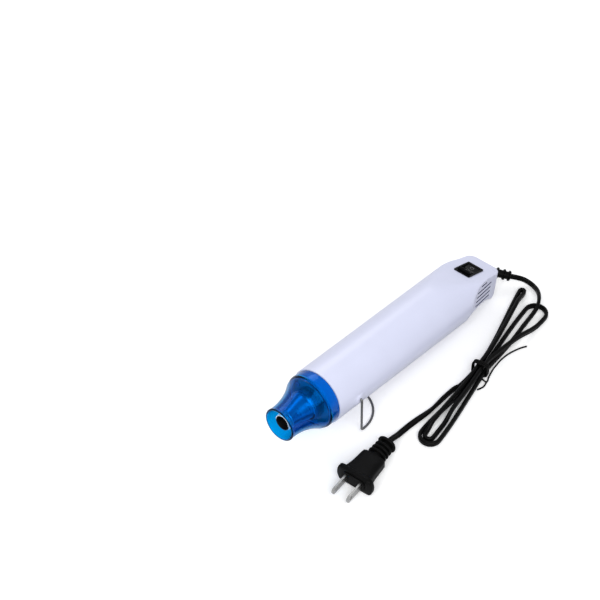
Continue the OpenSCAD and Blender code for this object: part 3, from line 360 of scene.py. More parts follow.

# Barrel: one glossy ABS moulding, white with a blue cast, painted shade inside. A tapering tube runs into a
# narrow tail with a sloping pad on top, a round-ended scoop in each side, a hollow below and soft edges.
# Vent slots, the holes of the switch and the cord and the stand's bosses are cut and joined after.
WALL = 2.2
BARREL_R, BARREL_DRAFT, BARREL_LEN = 22.5, 1.4, EXIT_X
PAD_X, PAD_H, PAD_SLOPE = 169.2, 16.5, math.radians(13)
HALF_W, SIDE_TAPER = 17.0, math.radians(4)
SCOOP_R, SCOOP_X, SCOOP_Z, SCOOP_FILLET = 21.5, 176.5, -6.5, 4.0
BELLY_R, BELLY_X, BELLY_Z, HEEL_R, HEEL_BLEND = 31.6, 179.5, -46.0, 8.0, 4.0
LOWER_EDGE, REAR_EDGE, TOP_EDGE, PAD_EDGE = 5.0, 6.5, 1.4, 2.4
SPIGOT_R, SPIGOT_LEN, SPIGOT_WALL = 20.1, 7.5, 2.0
PIVOT_X, PIVOT_Z = 21.4, -1.6
LUG_END, LUG_R = 23.35, 4.0
TAIL_START, FAN_X, RING_STEP, RAY_END = 130, 186.0, 0.7, 32.0
CORD_HOLE_R, INSIDE_FROM, SKIN_DEPTH = 4.3, 3, 0.15


def round_and(a, b, k):
    """The overlap of two shapes given as distances, with the edge between them rounded to a radius."""
    a, b = a + k, b + k
    return np.minimum(np.maximum(a, b), 0) + np.hypot(np.maximum(a, 0), np.maximum(b, 0)) - k


def barrel_form(x, y, z, inset):
    """How far a point lies outside the barrel's skin, or outside its cavity when drawn in by the wall."""
    y = np.abs(y)
    cone = np.hypot(y, z) - (BARREL_R + BARREL_DRAFT * x / BARREL_LEN - inset)
    pad = (x - PAD_X) * math.sin(PAD_SLOPE) + (z - PAD_H) * math.cos(PAD_SLOPE) + inset
    out = (x - SCOOP_X) * math.sin(SIDE_TAPER) + (y - HALF_W + inset) * math.cos(SIDE_TAPER)
    along = (x - SCOOP_X) * math.cos(SIDE_TAPER) - (y - HALF_W + inset) * math.sin(SIDE_TAPER)
    from_middle = np.hypot(np.minimum(along, 0), z - SCOOP_Z)
    side = -round_and(-out, from_middle - SCOOP_R - inset, SCOOP_FILLET)
    belly = BELLY_R + inset - np.hypot(x - BELLY_X, z - BELLY_Z)
    heel_x = BARREL_LEN - HEEL_R
    heel_z = BELLY_Z + math.sqrt((BELLY_R + inset) ** 2 - (heel_x - BELLY_X) ** 2) + HEEL_R - inset
    heel = np.hypot(np.maximum(x - heel_x, 0), np.maximum(heel_z - z, 0)) - HEEL_R + inset
    heel = heel - np.maximum(z - heel_z, 0)
    under = belly + (heel - belly) * np.clip((x - heel_x) / HEEL_BLEND + 0.5, 0, 1)
    tail = round_and(round_and(side, under, LOWER_EDGE), x - BARREL_LEN + inset, REAR_EDGE)
    return round_and(round_and(cone, pad, PAD_EDGE), tail, TOP_EDGE)


def stood(points):
    """Points of the barrel's frame in millimetres, as they stand, in metres."""
    p = np.array(points, float)
    x = PLACE_X + p[:, 0] * math.cos(TILT) + p[:, 2] * math.sin(TILT)
    z = AXIS_H - p[:, 0] * math.sin(TILT) + p[:, 2] * math.cos(TILT)
    return np.stack([x, p[:, 1], z], 1) * MM


def skin(front, inset, around):
    """A closed skin, found along rays from the axis and, for the tail's end, from one point on it."""
    tube_stations = np.linspace(front, TAIL_START, 14)[:-1]
    stations = np.concatenate([tube_stations, np.arange(TAIL_START, FAN_X, RING_STEP)])
    fan = np.radians(np.arange(90, 0, -1.5))
    starts = np.concatenate([stations, np.full(len(fan), FAN_X)])
    lean = np.concatenate([np.full(len(stations), math.pi / 2), fan])
    turn = np.linspace(0, 2 * math.pi, around, endpoint=False)
    ray = np.stack([np.cos(lean)[:, None] + 0 * turn, np.sin(lean)[:, None] * np.cos(turn),
                    np.sin(lean)[:, None] * np.sin(turn)], 2)

    def outside(reach):
        x = starts[:, None] + reach * ray[:, :, 0]
        return barrel_form(x, reach * ray[:, :, 1], reach * ray[:, :, 2], inset)

    low = np.zeros(ray.shape[:2])
    high = np.full(ray.shape[:2], RAY_END)
    found = np.zeros(ray.shape[:2], bool)
    for reach in np.arange(0.5, RAY_END, 0.25):
        crossed = (outside(np.full(low.shape, reach)) > 0) & ~found
        high[crossed] = reach
        low[~found & ~crossed] = reach
        found |= crossed
    for _ in range(22):
        middle = (low + high) / 2
        solid = outside(middle) < 0
        low = np.where(solid, middle, low)
        high = np.where(solid, high, middle)
    rings = starts[:, None, None] * np.array([1, 0, 0]) + low[:, :, None] * ray
    points = np.concatenate([rings.reshape(-1, 3), [[BARREL_LEN - inset, 0, 0]]])
    faces = ring_faces(len(starts), around)
    last = (len(starts) - 1) * around
    faces += [(last + k, last + (k + 1) % around, len(points) - 1) for k in range(around)]
    faces.append(tuple(range(around - 1, -1, -1)))
    return points, faces


def rod(r, x0, x1, steps, at=(0, 0)):
    """A round bar along the barrel's axis, as points and faces."""
    points = []
    for x in (x0, x1):
        for a in np.linspace(0, 2 * math.pi, steps, endpoint=False):
            points.append((x, at[0] + r * math.cos(a), at[1] + r * math.sin(a)))
    ends = [tuple(range(steps - 1, -1, -1)), tuple(range(steps, 2 * steps))]
    return np.array(points), ring_faces(2, steps) + ends


def combine(piece, tool, operation):
    """Cuts a tool from a piece, or joins it, and takes the tool away."""
    modifier = piece.modifiers.new("combine", "BOOLEAN")
    modifier.operation = operation
    modifier.solver = "MANIFOLD"
    modifier.object = tool
    bpy.context.view_layer.update()
    result = bpy.data.meshes.new_from_object(piece.evaluated_get(bpy.context.evaluated_depsgraph_get()))
    piece.modifiers.clear()
    piece.data = result
    bpy.data.objects.remove(tool)


def finish_mesh(piece, material, crease):
    """One material, smooth faces, and sharp edges only where the form has them."""
    piece.data.materials.clear()
    piece.data.materials.append(material)
    piece.data.polygons.foreach_set("material_index", [0] * len(piece.data.polygons))
    piece.data.polygons.foreach_set("use_smooth", [True] * len(piece.data.polygons))
    piece.data.set_sharp_from_angle(angle=math.radians(crease))


def repeated(name, template, spots, material):
    """Copies of a template at spots, each [place, turn, size], made by a Geometry Nodes tree."""
    marks = bpy.data.meshes.new(name + "_spots")
    marks.from_pydata([tuple(s[0]) for s in spots], [], [])
    for key, k in (("turn", 1), ("grow", 2)):
        layer = marks.attributes.new(key, "FLOAT_VECTOR", "POINT")
        layer.data.foreach_set("vector", [float(v) for s in spots for v in s[k]])
    holder = bpy.data.objects.new(name, marks)
    bpy.context.collection.objects.link(holder)
    tree = bpy.data.node_groups.new(name, "GeometryNodeTree")
    tree.interface.new_socket("Geometry", in_out="INPUT", socket_type="NodeSocketGeometry")
    part = tree.interface.new_socket("Template", in_out="INPUT", socket_type="NodeSocketObject")
    cover = tree.interface.new_socket("Material", in_out="INPUT", socket_type="NodeSocketMaterial")
    tree.interface.new_socket("Geometry", in_out="OUTPUT", socket_type="NodeSocketGeometry")
    start = tree.nodes.new("NodeGroupInput")
    end = tree.nodes.new("NodeGroupOutput")
    info = tree.nodes.new("GeometryNodeObjectInfo")
    tree.links.new(start.outputs["Template"], info.inputs["Object"])
    turn = put(tree, "GeometryNodeInputNamedAttribute", {"data_type": "FLOAT_VECTOR"}, Name="turn")
    grow = put(tree, "GeometryNodeInputNamedAttribute", {"data_type": "FLOAT_VECTOR"}, Name="grow")
    spin = put(tree, "FunctionNodeEulerToRotation", Euler=turn.outputs["Attribute"])
    copies = put(tree, "GeometryNodeInstanceOnPoints", Points=start.outputs["Geometry"],
                 Instance=info.outputs["Geometry"], Rotation=spin.outputs[0], Scale=grow.outputs["Attribute"])
    real = put(tree, "GeometryNodeRealizeInstances", Geometry=copies.outputs[0])
    covered = put(tree, "GeometryNodeSetMaterial", Geometry=real.outputs[0],
                  Material=start.outputs["Material"])
    tree.links.new(covered.outputs[0], end.inputs[0])
    modifier = holder.modifiers.new("repeat", "NODES")
    modifier.node_group = tree
    modifier[part.identifier] = template
    modifier[cover.identifier] = material
    bpy.context.view_layer.update()
    mesh = bpy.data.meshes.new_from_object(holder.evaluated_get(bpy.context.evaluated_depsgraph_get()))
    holder.modifiers.clear()
    holder.data = mesh
    bpy.data.objects.remove(template)
    return holder


def moulded(name, colour, rough, grain=0.06, cloud_scale=45, **inputs):
    """Moulded plastic: a colour that drifts slightly, uneven gloss and a very fine skin."""
    material, tree, output = node_material(name)
    where = put(tree, "ShaderNodeTexCoord")
    cloud = put(tree, "ShaderNodeTexNoise", Vector=where.outputs["Object"], Scale=cloud_scale, Detail=4)
    shade = put(tree, "ShaderNodeMix", {"data_type": "RGBA"}, Factor=cloud.outputs["Fac"],
                i6=(*[c * 0.96 for c in colour], 1), i7=(*[min(1, c * 1.04) for c in colour], 1))
    gloss = put(tree, "ShaderNodeMapRange", Value=cloud.outputs["Fac"], From_Min=0.3, From_Max=0.7,
                To_Min=rough * 0.9, To_Max=rough * 1.15)
    fine = put(tree, "ShaderNodeTexNoise", Vector=where.outputs["Object"], Scale=1500, Detail=2)
    bump = put(tree, "ShaderNodeBump", Height=fine.outputs["Fac"], Strength=grain, Distance=0.0001)
    principled(tree, output, shade.outputs[2], gloss.outputs[0], bump.outputs[0], **inputs)
    return material


body_abs = moulded("body_abs", (0.64, 0.66, 0.82), 0.3)
points, faces = skin(0, 0, 240)
body = mesh_piece("barrel_moulding", stood(points), faces, body_abs)
for points, faces, operation in (
        (*rod(SPIGOT_R, -SPIGOT_LEN, 1, 96), "UNION"),
        (*skin(2.5, WALL, 120), "DIFFERENCE"),
        (*rod(SPIGOT_R - SPIGOT_WALL, -SPIGOT_LEN - 1, 2.6, 96), "DIFFERENCE"),
        (*rod(CORD_HOLE_R, BARREL_LEN - 5, BARREL_LEN + 2, 48, (0, EXIT_Z)), "DIFFERENCE")):
    combine(body, mesh_piece("tool", stood(points), faces, body_abs), operation)

LUG_PROFILE = [(18.0, 6.2), (21.6, 6.0), (22.3, 5.2), (22.7, 4.5), (22.95, LUG_R), (23.1, 3.85),
               (LUG_END, 3.4)]
LUG_STEPS, PIN_HOLE_R, PIN_HOLE_Y = 40, 0.95, 10
ring = np.linspace(0, 2 * math.pi, LUG_STEPS, endpoint=False)
for side in (-1, 1):
    lug_points = [(PIVOT_X + r * math.cos(a), side * y, PIVOT_Z + r * math.sin(a))
                  for y, r in LUG_PROFILE for a in ring]
    lug_faces = ring_faces(len(LUG_PROFILE), LUG_STEPS)
    lug_faces += [tuple(range(LUG_STEPS)), tuple(range(len(lug_points) - LUG_STEPS, len(lug_points)))]
    combine(body, mesh_piece("lug", stood(lug_points), lug_faces, body_abs), "UNION")
    bore, bore_faces = rod(PIN_HOLE_R, 0, 16, 24)
    bore = np.stack([PIVOT_X + bore[:, 1], side * (PIN_HOLE_Y + bore[:, 0]), PIVOT_Z + bore[:, 2]], 1)
    combine(body, mesh_piece("bore", stood(bore), bore_faces, body_abs), "DIFFERENCE")


def block(x0, x1, y0, y1, z0, z1):
    """A plain block between two corners, as points and faces."""
    points = [(x, y, z) for x in (x0, x1) for y in (y0, y1) for z in (z0, z1)]
    faces = [(0, 1, 3, 2), (4, 6, 7, 5), (0, 4, 5, 1), (2, 3, 7, 6), (0, 2, 6, 4), (1, 5, 7, 3)]
    return np.array(points), faces


def on_pad(points):
    """Points of the switch's frame, x along the pad and z off it, in the barrel's frame."""
    p = np.array(points, float)
    return np.stack([PAD_X + p[:, 0] * math.cos(PAD_SLOPE) + p[:, 2] * math.sin(PAD_SLOPE), p[:, 1],
                     PAD_H - p[:, 0] * math.sin(PAD_SLOPE) + p[:, 2] * math.cos(PAD_SLOPE)], 1)


BEZEL_L, BEZEL_LIP, HOLE_HALF_W = 21.4, 1.0, 6.6
points, faces = block(BEZEL_LIP, BEZEL_L - BEZEL_LIP, -HOLE_HALF_W, HOLE_HALF_W, -6, 6)
combine(body, mesh_piece("switch_hole", stood(on_pad(points)), faces, body_abs), "DIFFERENCE")

SLOT_H, SLOT_PITCH, SLOT_TOP, SLOT_MID_Y, SLOT_DEPTH = 1.5, 4.4, 9.2, 15.5, 8.8
SLOT_EDGE, SLOT_PAD_GAP, SLOT_REAR_X = 2.6, 3.4, 190.5
louvre_spots = []
for k in range(5):
    z = SLOT_TOP - SLOT_PITCH * k
    reach = math.sqrt(max(1, (SCOOP_R - SCOOP_FILLET - SLOT_EDGE) ** 2 - (z - SCOOP_Z) ** 2))
    x0 = max(SCOOP_X - reach, SCOOP_X - 6)
    x1 = min(SLOT_REAR_X, PAD_X + (PAD_H - SLOT_PAD_GAP - z - SLOT_H / 2) / math.tan(PAD_SLOPE))
    for side in (-1, 1):
        middle = stood([((x0 + x1) / 2, side * SLOT_MID_Y, z)])[0]
        louvre_spots.append((middle, (0, TILT, 0), (x1 - x0, SLOT_DEPTH, SLOT_H)))
points, faces = block(-0.5, 0.5, -0.5, 0.5, -0.5, 0.5)
slot = mesh_piece("slot", points * MM, faces, body_abs, False)
slots = repeated("louvre_slots", slot, louvre_spots, body_abs)
combine(body, slots, "DIFFERENCE")
finish_mesh(body, body_abs, 32)
# Painted shade: every face lying deeper than the outer skin (cavity, slot walls, holes) gets a near-black
# blue.
inner_painted_shade = moulded("body_inner_painted_shade", (0.05, 0.052, 0.12), 0.5)
body.data.materials.append(inner_painted_shade)
for face in body.data.polygons:
    across, y, up = face.center.x / MM - PLACE_X, face.center.y / MM, face.center.z / MM - AXIS_H
    x = across * math.cos(TILT) - up * math.sin(TILT)
    z = across * math.sin(TILT) + up * math.cos(TILT)
    if x > INSIDE_FROM and barrel_form(x, y, z, 0) < -SKIN_DEPTH:
        face.material_index = 1
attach(body, "tool")
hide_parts("barrel")

# Guard: a clear blue polycarbonate moulding pushed over the barrel's spigot. A broad band at the rear, a
# flare and a straight neck with a thin round lip; the steel nozzle shows through it.
GUARD_BAND_R, GUARD_NECK_R, GUARD_WALL, GUARD_LEN, FLARE_R = 21.8, 12.9, 1.5, 40.4, 44.9


def rounded(profile, radius, steps=4):
    """A closed profile with every corner turned into an arc, as far as the sides next to it allow."""
    profile = [np.array(p, float) for p in profile]
    out = []
    for i, corner in enumerate(profile):
        before, after = profile[i - 1] - corner, profile[(i + 1) % len(profile)] - corner
        reach = min(radius, 0.45 * np.linalg.norm(before), 0.45 * np.linalg.norm(after))
        p0 = corner + before / np.linalg.norm(before) * reach
        p1 = corner + after / np.linalg.norm(after) * reach
        for k in range(steps + 1):
            t = k / steps
            out.append((1 - t) ** 2 * p0 + 2 * t * (1 - t) * corner + t * t * p1)
    return out


def lathe(name, profile, material, steps):
    """A profile of [x, radius] points turned round the barrel's axis and closed on itself."""
    turn = np.linspace(0, 2 * math.pi, steps, endpoint=False)
    count = len(profile)
    points = [(p[0], p[1] * math.cos(a), p[1] * math.sin(a)) for a in turn for p in profile]
    faces = []
    for j in range(steps):
        here, after = j * count, (j + 1) % steps * count
        for i in range(count):
            k = (i + 1) % count
            faces.append((here + i, here + k, after + k, after + i))
    return mesh_piece(name, stood(points), faces, material)


def flare(x, wall):
    """The radius of the guard's flare, on its outside or drawn in by the wall."""
    return GUARD_NECK_R + FLARE_R - math.sqrt((FLARE_R + wall) ** 2 - (x + 36) ** 2)


guard_outer = [(0, GUARD_BAND_R), (-7.6, GUARD_BAND_R), (-8.9, 21.2), (-9.6, 20.2)]
guard_outer += [(x, flare(x, 0)) for x in np.linspace(-10.6, -36, 22)]
guard_outer += [(-38.2, GUARD_NECK_R), (-39.0, 13.2), (-39.9, 13.2), (-GUARD_LEN, 12.6),
                (-GUARD_LEN, 12.0)]
guard_inner = [(-39.6, 11.4)] + [(x, flare(x, GUARD_WALL)) for x in np.linspace(-36, -8.6, 22)]
guard_inner += [(-7.6, 20.3), (0, 20.3)]

guard_pc, tree, output = node_material("guard_pc")
where = put(tree, "ShaderNodeTexCoord")
cloud = put(tree, "ShaderNodeTexNoise", Vector=where.outputs["Object"], Scale=70, Detail=3)
gloss = put(tree, "ShaderNodeMapRange", Value=cloud.outputs["Fac"], From_Min=0.3, From_Max=0.7,
            To_Min=0.02, To_Max=0.06)
tint = put(tree, "ShaderNodeMix", {"data_type": "RGBA"}, Factor=cloud.outputs["Fac"],
           i6=(0.0, 0.26, 0.66, 1), i7=(0.0, 0.3, 0.7, 1))
# Painted shade: the blue tint turns near-black navy where the guard's surface is seen edge-on.
grazing = put(tree, "ShaderNodeLayerWeight", Blend=0.5)
edge_on = put(tree, "ShaderNodeMath", {"operation": "POWER"}, i0=grazing.outputs["Facing"], i1=1.3)
edge_painted_shade = put(tree, "ShaderNodeMix", {"data_type": "RGBA"}, Factor=edge_on.outputs[0],
           i6=tint.outputs[2], i7=(0.0, 0.015, 0.1, 1))
clear = put(tree, "ShaderNodeBsdfPrincipled", Base_Color=edge_painted_shade.outputs[2], Roughness=gloss.outputs[0],
            Transmission_Weight=1.0, IOR=1.5, Specular_Tint=(0.0, 0.25, 0.8, 1),
            Specular_IOR_Level=0.25)
paths = put(tree, "ShaderNodeLightPath")
passing = put(tree, "ShaderNodeBsdfTransparent", Color=(0.5, 0.85, 1, 1))
mixed = put(tree, "ShaderNodeMixShader", Fac=paths.outputs["Is Shadow Ray"], i1=clear.outputs[0],
            i2=passing.outputs[0])
tree.links.new(mixed.outputs[0], output.inputs[0])
guard = lathe("guard_moulding", rounded(guard_outer + guard_inner, 0.5, 3), guard_pc, 128)
finish_mesh(guard, guard_pc, 40)
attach(guard, "tool")
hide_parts("nozzle_guard")

# Nozzle: drawn from thin stainless steel, a cone with a short straight tip, two rolled beads that stiffen
# the tip and a flat rim that the heater tube's flange bears on. Its inner faces carry painted shade, near
# black.
TIP_X, TIP_BORE, TIP_R, CONE_R, RIM_R, TUBE_FACE = -37.0, 5.7, 6.2, 9.8, 11.0, -13.8
RIM_FRONT, BEAD_R = TUBE_FACE - 0.8, 0.7
nozzle_outer = [(TIP_X, TIP_R)]
for bead in (2, 4.5):
    nozzle_outer += [(TIP_X + bead - BEAD_R * math.cos(a), TIP_R + BEAD_R * math.sin(a))
                     for a in np.linspace(0.05, 3.09, 10)]
nozzle_outer += [(TIP_X + 6, TIP_R), (-24, 7.5), (-20, 8.8), (RIM_FRONT, CONE_R), (RIM_FRONT, RIM_R),
                 (TUBE_FACE, RIM_R)]
nozzle_inner = [(TUBE_FACE, 9.3), (RIM_FRONT, 9.3), (-20, 8.3), (-24, 7.0), (TIP_X + 5.75, TIP_BORE),
                (TIP_X, TIP_BORE)]


def metal(name, colour, rough, stretch, scale):
    """Bare or plated metal with a fine worked grain along one direction."""
    material, tree, output = node_material(name)
    where = put(tree, "ShaderNodeTexCoord")
    spread = put(tree, "ShaderNodeMapping", Vector=where.outputs["Object"], Scale=stretch)
    grain = put(tree, "ShaderNodeTexNoise", Vector=spread.outputs[0], Scale=scale, Detail=5)
    shade = put(tree, "ShaderNodeMix", {"data_type": "RGBA"}, Factor=grain.outputs["Fac"],
                i6=(*[c * 0.88 for c in colour], 1), i7=(*[min(1, c * 1.08) for c in colour], 1))
    gloss = put(tree, "ShaderNodeMapRange", Value=grain.outputs["Fac"], From_Min=0.3, From_Max=0.7,
                To_Min=rough * 0.75, To_Max=rough * 1.3)
    bump = put(tree, "ShaderNodeBump", Height=grain.outputs["Fac"], Strength=0.04, Distance=0.0001)
    principled(tree, output, shade.outputs[2], gloss.outputs[0], bump.outputs[0], Metallic=1.0)
    return material


nozzle_steel = metal("nozzle_steel", (0.95, 0.95, 0.96), 0.33, (6, 1, 1), 300)
nozzle = lathe("nozzle_shell", nozzle_outer + nozzle_inner, nozzle_steel, 96)
finish_mesh(nozzle, nozzle_steel, 40)
# Painted shade: every face of the nozzle turned towards the axis gets near-black steel.
nozzle_bore_painted_shade = metal("nozzle_bore_painted_shade", (0.05, 0.045, 0.045), 0.5, (6, 1, 1), 300)
nozzle.data.materials.append(nozzle_bore_painted_shade)
for face in nozzle.data.polygons:
    axis_z = AXIS_H - (face.center.x / MM - PLACE_X) * math.tan(TILT)
    if face.center.y * face.normal.y + (face.center.z - axis_z * MM) * face.normal.z < 0:
        face.material_index = 1
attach(nozzle, "tool")
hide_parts("heater_nozzle")


# Heater and its mounting: a steel tube through a pale ceramic disc with three pan-head screws; inside it
# a rolled mica sleeve and two crossed mica boards that carry the wound resistance wire.
def dress(material, *nodes):
    """Gives a material to nodes that keep their own solids."""
    for node in nodes:
        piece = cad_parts[node]
        piece.data.materials.clear()
        piece.data.materials.append(material)


tube_steel = metal("tube_steel", (0.5, 0.49, 0.47), 0.3, (1, 8, 8), 260)
screw_zinc = metal("screw_zinc", (0.66, 0.67, 0.68), 0.28, (1, 1, 1), 900)
coil_wire = metal("coil_wire", (0.42, 0.38, 0.34), 0.4, (1, 1, 1), 1200)
plate_ceramic = moulded("plate_ceramic", (0.52, 0.52, 0.5), 0.5, 0.2)
mica_sheet = moulded("mica_sheet", (0.55, 0.46, 0.3), 0.35, 0.3, 260)
dress(tube_steel, "heater_tube", "thermal_cutout")
dress(plate_ceramic, "front_plate")
dress(screw_zinc, "plate_screws", "motor_screws")
dress(mica_sheet, "mica_sleeve", "mica_former")
dress(coil_wire, "heating_coil")

# Fan, motor and board: a nylon fan pressed on the shaft of a plated can motor, inside a moulded duct; a
# resin-bonded board with four diodes on the motor's rear boss; a fuse beside the heater.
fan_nylon = moulded("fan_nylon", (0.02, 0.021, 0.023), 0.35, 0.1)
motor_can = metal("motor_can", (0.55, 0.55, 0.56), 0.25, (1, 1, 12), 200)
shaft_steel = metal("shaft_steel", (0.6, 0.6, 0.61), 0.15, (1, 10, 10), 500)
board_resin = moulded("board_resin", (0.42, 0.3, 0.13), 0.4, 0.25, 300)
diode_epoxy = moulded("diode_epoxy", (0.02, 0.02, 0.021), 0.3, 0.1)
tab_brass = metal("tab_brass", (0.72, 0.55, 0.27), 0.25, (1, 1, 8), 300)
dress(fan_nylon, "fan_duct", "fan_impeller", "motor_mount")
dress(motor_can, "motor_body")
dress(shaft_steel, "motor_shaft")
dress(board_resin, "rectifier_board")
dress(diode_epoxy, "rectifier_diodes", "thermal_fuse")
dress(tab_brass, "switch_terminals")

# Switch: a black snap-in rocker switch. The bezel's frame has a soft edge, and the rocker is dished, with
# a bar moulded in one end and a ring in the other, both filled with pale paint.
switch_abs = moulded("switch_abs", (0.002, 0.002, 0.0025), 0.2, 0.08, Specular_IOR_Level=0.08)
dress(switch_abs, "switch_body")


def loft(sections):
    """Rings of points joined in order and closed at both ends."""
    count = len(sections[0])
    points = [tuple(p) for section in sections for p in section]
    ends = [tuple(range(count - 1, -1, -1)), tuple(range(len(points) - count, len(points)))]
    return points, ring_faces(len(sections), count) + ends


ROCKER_LEAN = math.radians(10)
ROCKER_L, ROCKER_W, DISH_LOW, DISH_RISE, DISH_POWER = 7.9, 5.7, 1.3, 1.6, 1.3
DISH_STEPS = 24
face_line = [(-ROCKER_L + 2 * ROCKER_L * k / DISH_STEPS,
              DISH_LOW + DISH_RISE * abs(-1 + 2 * k / DISH_STEPS) ** DISH_POWER)
             for k in range(DISH_STEPS + 1)]
rocker_side = face_line + [(ROCKER_L, 0.6), (3, -2.8), (-3, -2.8), (-ROCKER_L, 0.6)]


def on_rocker(points):
    """Points of the rocker's own frame, about its pins, in the switch's frame."""
    p = np.array(points, float)
    c, s = math.cos(ROCKER_LEAN), math.sin(ROCKER_LEAN)
    return np.stack([BEZEL_L / 2 + p[:, 0] * c + p[:, 2] * s, p[:, 1], -1 - p[:, 0] * s + p[:, 2] * c], 1)


rocker_sections = []
for y, drop in ((-ROCKER_W, 0.35), (-ROCKER_W + 0.12, 0.12), (-ROCKER_W + 0.4, 0), (ROCKER_W - 0.4, 0),
                (ROCKER_W - 0.12, 0.12), (ROCKER_W, 0.35)):
    rocker_sections.append([(x * (1 - drop / 12), y, z - (drop if z > 0.6 else 0)) for x, z in rocker_side])
points, faces = loft(rocker_sections)
rocker = mesh_piece("rocker", stood(on_pad(on_rocker(points))), faces, switch_abs)
finish_mesh(rocker, switch_abs, 35)
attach(rocker, "rocker")
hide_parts("switch_rocker")


def face_height(x):
    """The height of a mark, just off the rocker's dished face."""
    return DISH_LOW + DISH_RISE * abs(x / ROCKER_L) ** DISH_POWER + 0.02


mark_paint = moulded("mark_paint", (0.14, 0.14, 0.15), 0.5, 0.1)
MARK_STEPS, MARK_RING_X, MARK_RING_IN, MARK_RING_OUT = 32, 4.6, 1.25, 1.65
BAR_X0, BAR_X1, BAR_HALF_W = -6.2, -3.2, 0.2
points = []
for k in range(MARK_STEPS):
    a = 2 * math.pi * k / MARK_STEPS
    for r in (MARK_RING_IN, MARK_RING_OUT):
        x = MARK_RING_X + r * math.cos(a)
        points.append((x, r * math.sin(a), face_height(x)))
start = len(points)
faces = [(2 * k, 2 * k + 1, (2 * k + 3) % start, (2 * k + 2) % start) for k in range(MARK_STEPS)]
for x, y in ((BAR_X0, -BAR_HALF_W), (BAR_X0, BAR_HALF_W), (BAR_X1, BAR_HALF_W), (BAR_X1, -BAR_HALF_W)):
    points.append((x, y, face_height(x)))
faces.append(tuple(start + k for k in range(4)))
marks = mesh_piece("rocker_marks", stood(on_pad(on_rocker(points))), faces, mark_paint, False)
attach(marks, "rocker")

# Wire stand: one length of bright drawn steel wire, bent into two legs and a half-round foot. Its ends
# are sprung into the two bosses of the barrel, on which the real stand folds.
stand_steel = metal("stand_steel", (0.2, 0.2, 0.2), 0.25, (1, 1, 1), 700)
dress(stand_steel, "stand_bail")

# Strain relief: a soft PVC grommet through the tail's wall, tapering along the cord, with four fins that
# let it bend.
relief_path_fine = np.array(smooth(relief_route, 10))
relief_pvc = soft_black("relief_pvc", 0.002, 0.3, 0.45, 0.25)
ring = np.linspace(0, 2 * math.pi, 24, endpoint=False)
radii = np.linspace(3.8, 3.1, len(relief_path_fine))
sections = radii[:, None, None] * np.stack([np.cos(ring), np.sin(ring)], 1)[None]
points, faces = swept(relief_path_fine, sections)
relief = mesh_piece("relief_core", points * MM, faces, relief_pvc)
for r, x0, x1 in ((4.2, 202.0, 205.5), (6.2, 200.5, 202.0), (5.6, 204.55, 206.5)):
    points, faces = rod(r, x0, x1, 40, (0, EXIT_Z))
    combine(relief, mesh_piece("collar", stood(points), faces, relief_pvc), "UNION")
FIN_PROFILE = [(-0.5, 0.9), (-0.4, 0.98), (-0.2, 1.0), (0.2, 1.0), (0.4, 0.98), (0.5, 0.9)]
fin_points, fin_faces = loft([[(r * math.cos(a), r * math.sin(a), z) for a in ring] for z, r in FIN_PROFILE])
FIN_COUNT, FIN_R, FIN_TAPER, FIN_T = 4, 5.1, 0.7, 1.3
fin_spots = []
for k in range(1, FIN_COUNT + 1):
    i = 3 * (k + 1) - 1
    after = min(i + 1, len(relief_path) - 1)
    way = Vector(tuple(relief_path[after] - relief_path[i - 1])).normalized()
    r = FIN_R - FIN_TAPER * k / FIN_COUNT
    fin_spots.append((relief_path[i] * MM, way.to_track_quat("Z", "Y").to_euler(), (r, r, FIN_T)))
fin = mesh_piece("fin", np.array(fin_points) * MM, fin_faces, relief_pvc)
fins = repeated("relief_fins", fin, fin_spots, relief_pvc)
combine(relief, fins, "UNION")
finish_mesh(relief, relief_pvc, 40)
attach(relief, "tool")
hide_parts("strain_relief")

# Tie: black plastic-covered wire, wound three turns round the hank's waist and drawn square over its
# strands. The two tails are left loose on the surface.
tie_pvc = soft_black("tie_pvc", 0.002, 0.28, 0.4, 0.15)
TIE_HALF_W, TIE_HALF_H = 6.1, 6.3
TIE_MID_Z = TIE_D + TIE_HALF_H - TIE_D / 2
TIE_TURNS, TURN_STEPS = 3, 36
tie_line = []
for i in range(TIE_TURNS * TURN_STEPS + 1):
    a = math.radians(10 * i - 60)
    wide = math.copysign(abs(math.cos(a)) ** 0.5, math.cos(a))
    tall = math.copysign(abs(math.sin(a)) ** 0.35, math.sin(a))
    s = (i / TURN_STEPS - TIE_TURNS / 2) * (TIE_D + 0.15)
    tie_line.append(on_hank(s, TIE_HALF_W * wide, TIE_MID_Z + TIE_HALF_H * tall))
tail_z = TIE_D / 2 + 0.02
tails = [[(39.5, -60.3, tail_z), (39.1, -65.5, tail_z), (44.8, -63.6, tail_z), (52.8, -61.5, tail_z),
          (57.4, -60.9, tail_z), (65.7, -60.2, tail_z), (75.1, -61.2, tail_z), (84.4, -64, tail_z),
          (89.8, -66.9, tail_z)],
         [(39.1, -65.5, tail_z), (33.7, -66.6, tail_z), (28.1, -65, tail_z)]]
small = np.linspace(0, 2 * math.pi, 10, endpoint=False)
round_wire = TIE_D / 2 * np.stack([np.cos(small), np.sin(small)], 1)
tie_points, tie_faces = swept(tie_line, np.repeat(round_wire[None], len(tie_line), 0),
                              (math.cos(TILT), 0, -math.sin(TILT)))
for tail in tails:
    line = smooth(tail, 6)
    more_points, more_faces = swept(line, np.repeat(round_wire[None], len(line), 0))
    tie_faces = tie_faces + [tuple(i + len(tie_points) for i in f) for f in more_faces]
    tie_points = np.concatenate([tie_points, more_points])
tie = mesh_piece("hank_tie", tie_points * MM, tie_faces, tie_pvc)
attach(tie, "tool")
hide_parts("cord_tie")

# Plug: moulded on the cord in soft PVC. A finger flange with round ears, a waisted body, and a ribbed
# relief that ends in a collar. Its two flat blades are nickel-plated brass with a hole near each tip.
plug_pvc = soft_black("plug_pvc", 0.002, 0.32, 0.5, 0.35)
PLUG_R, PLUG_H, NECK_X, BACK_X = 15.4, 16.0, -0.4, -22.4


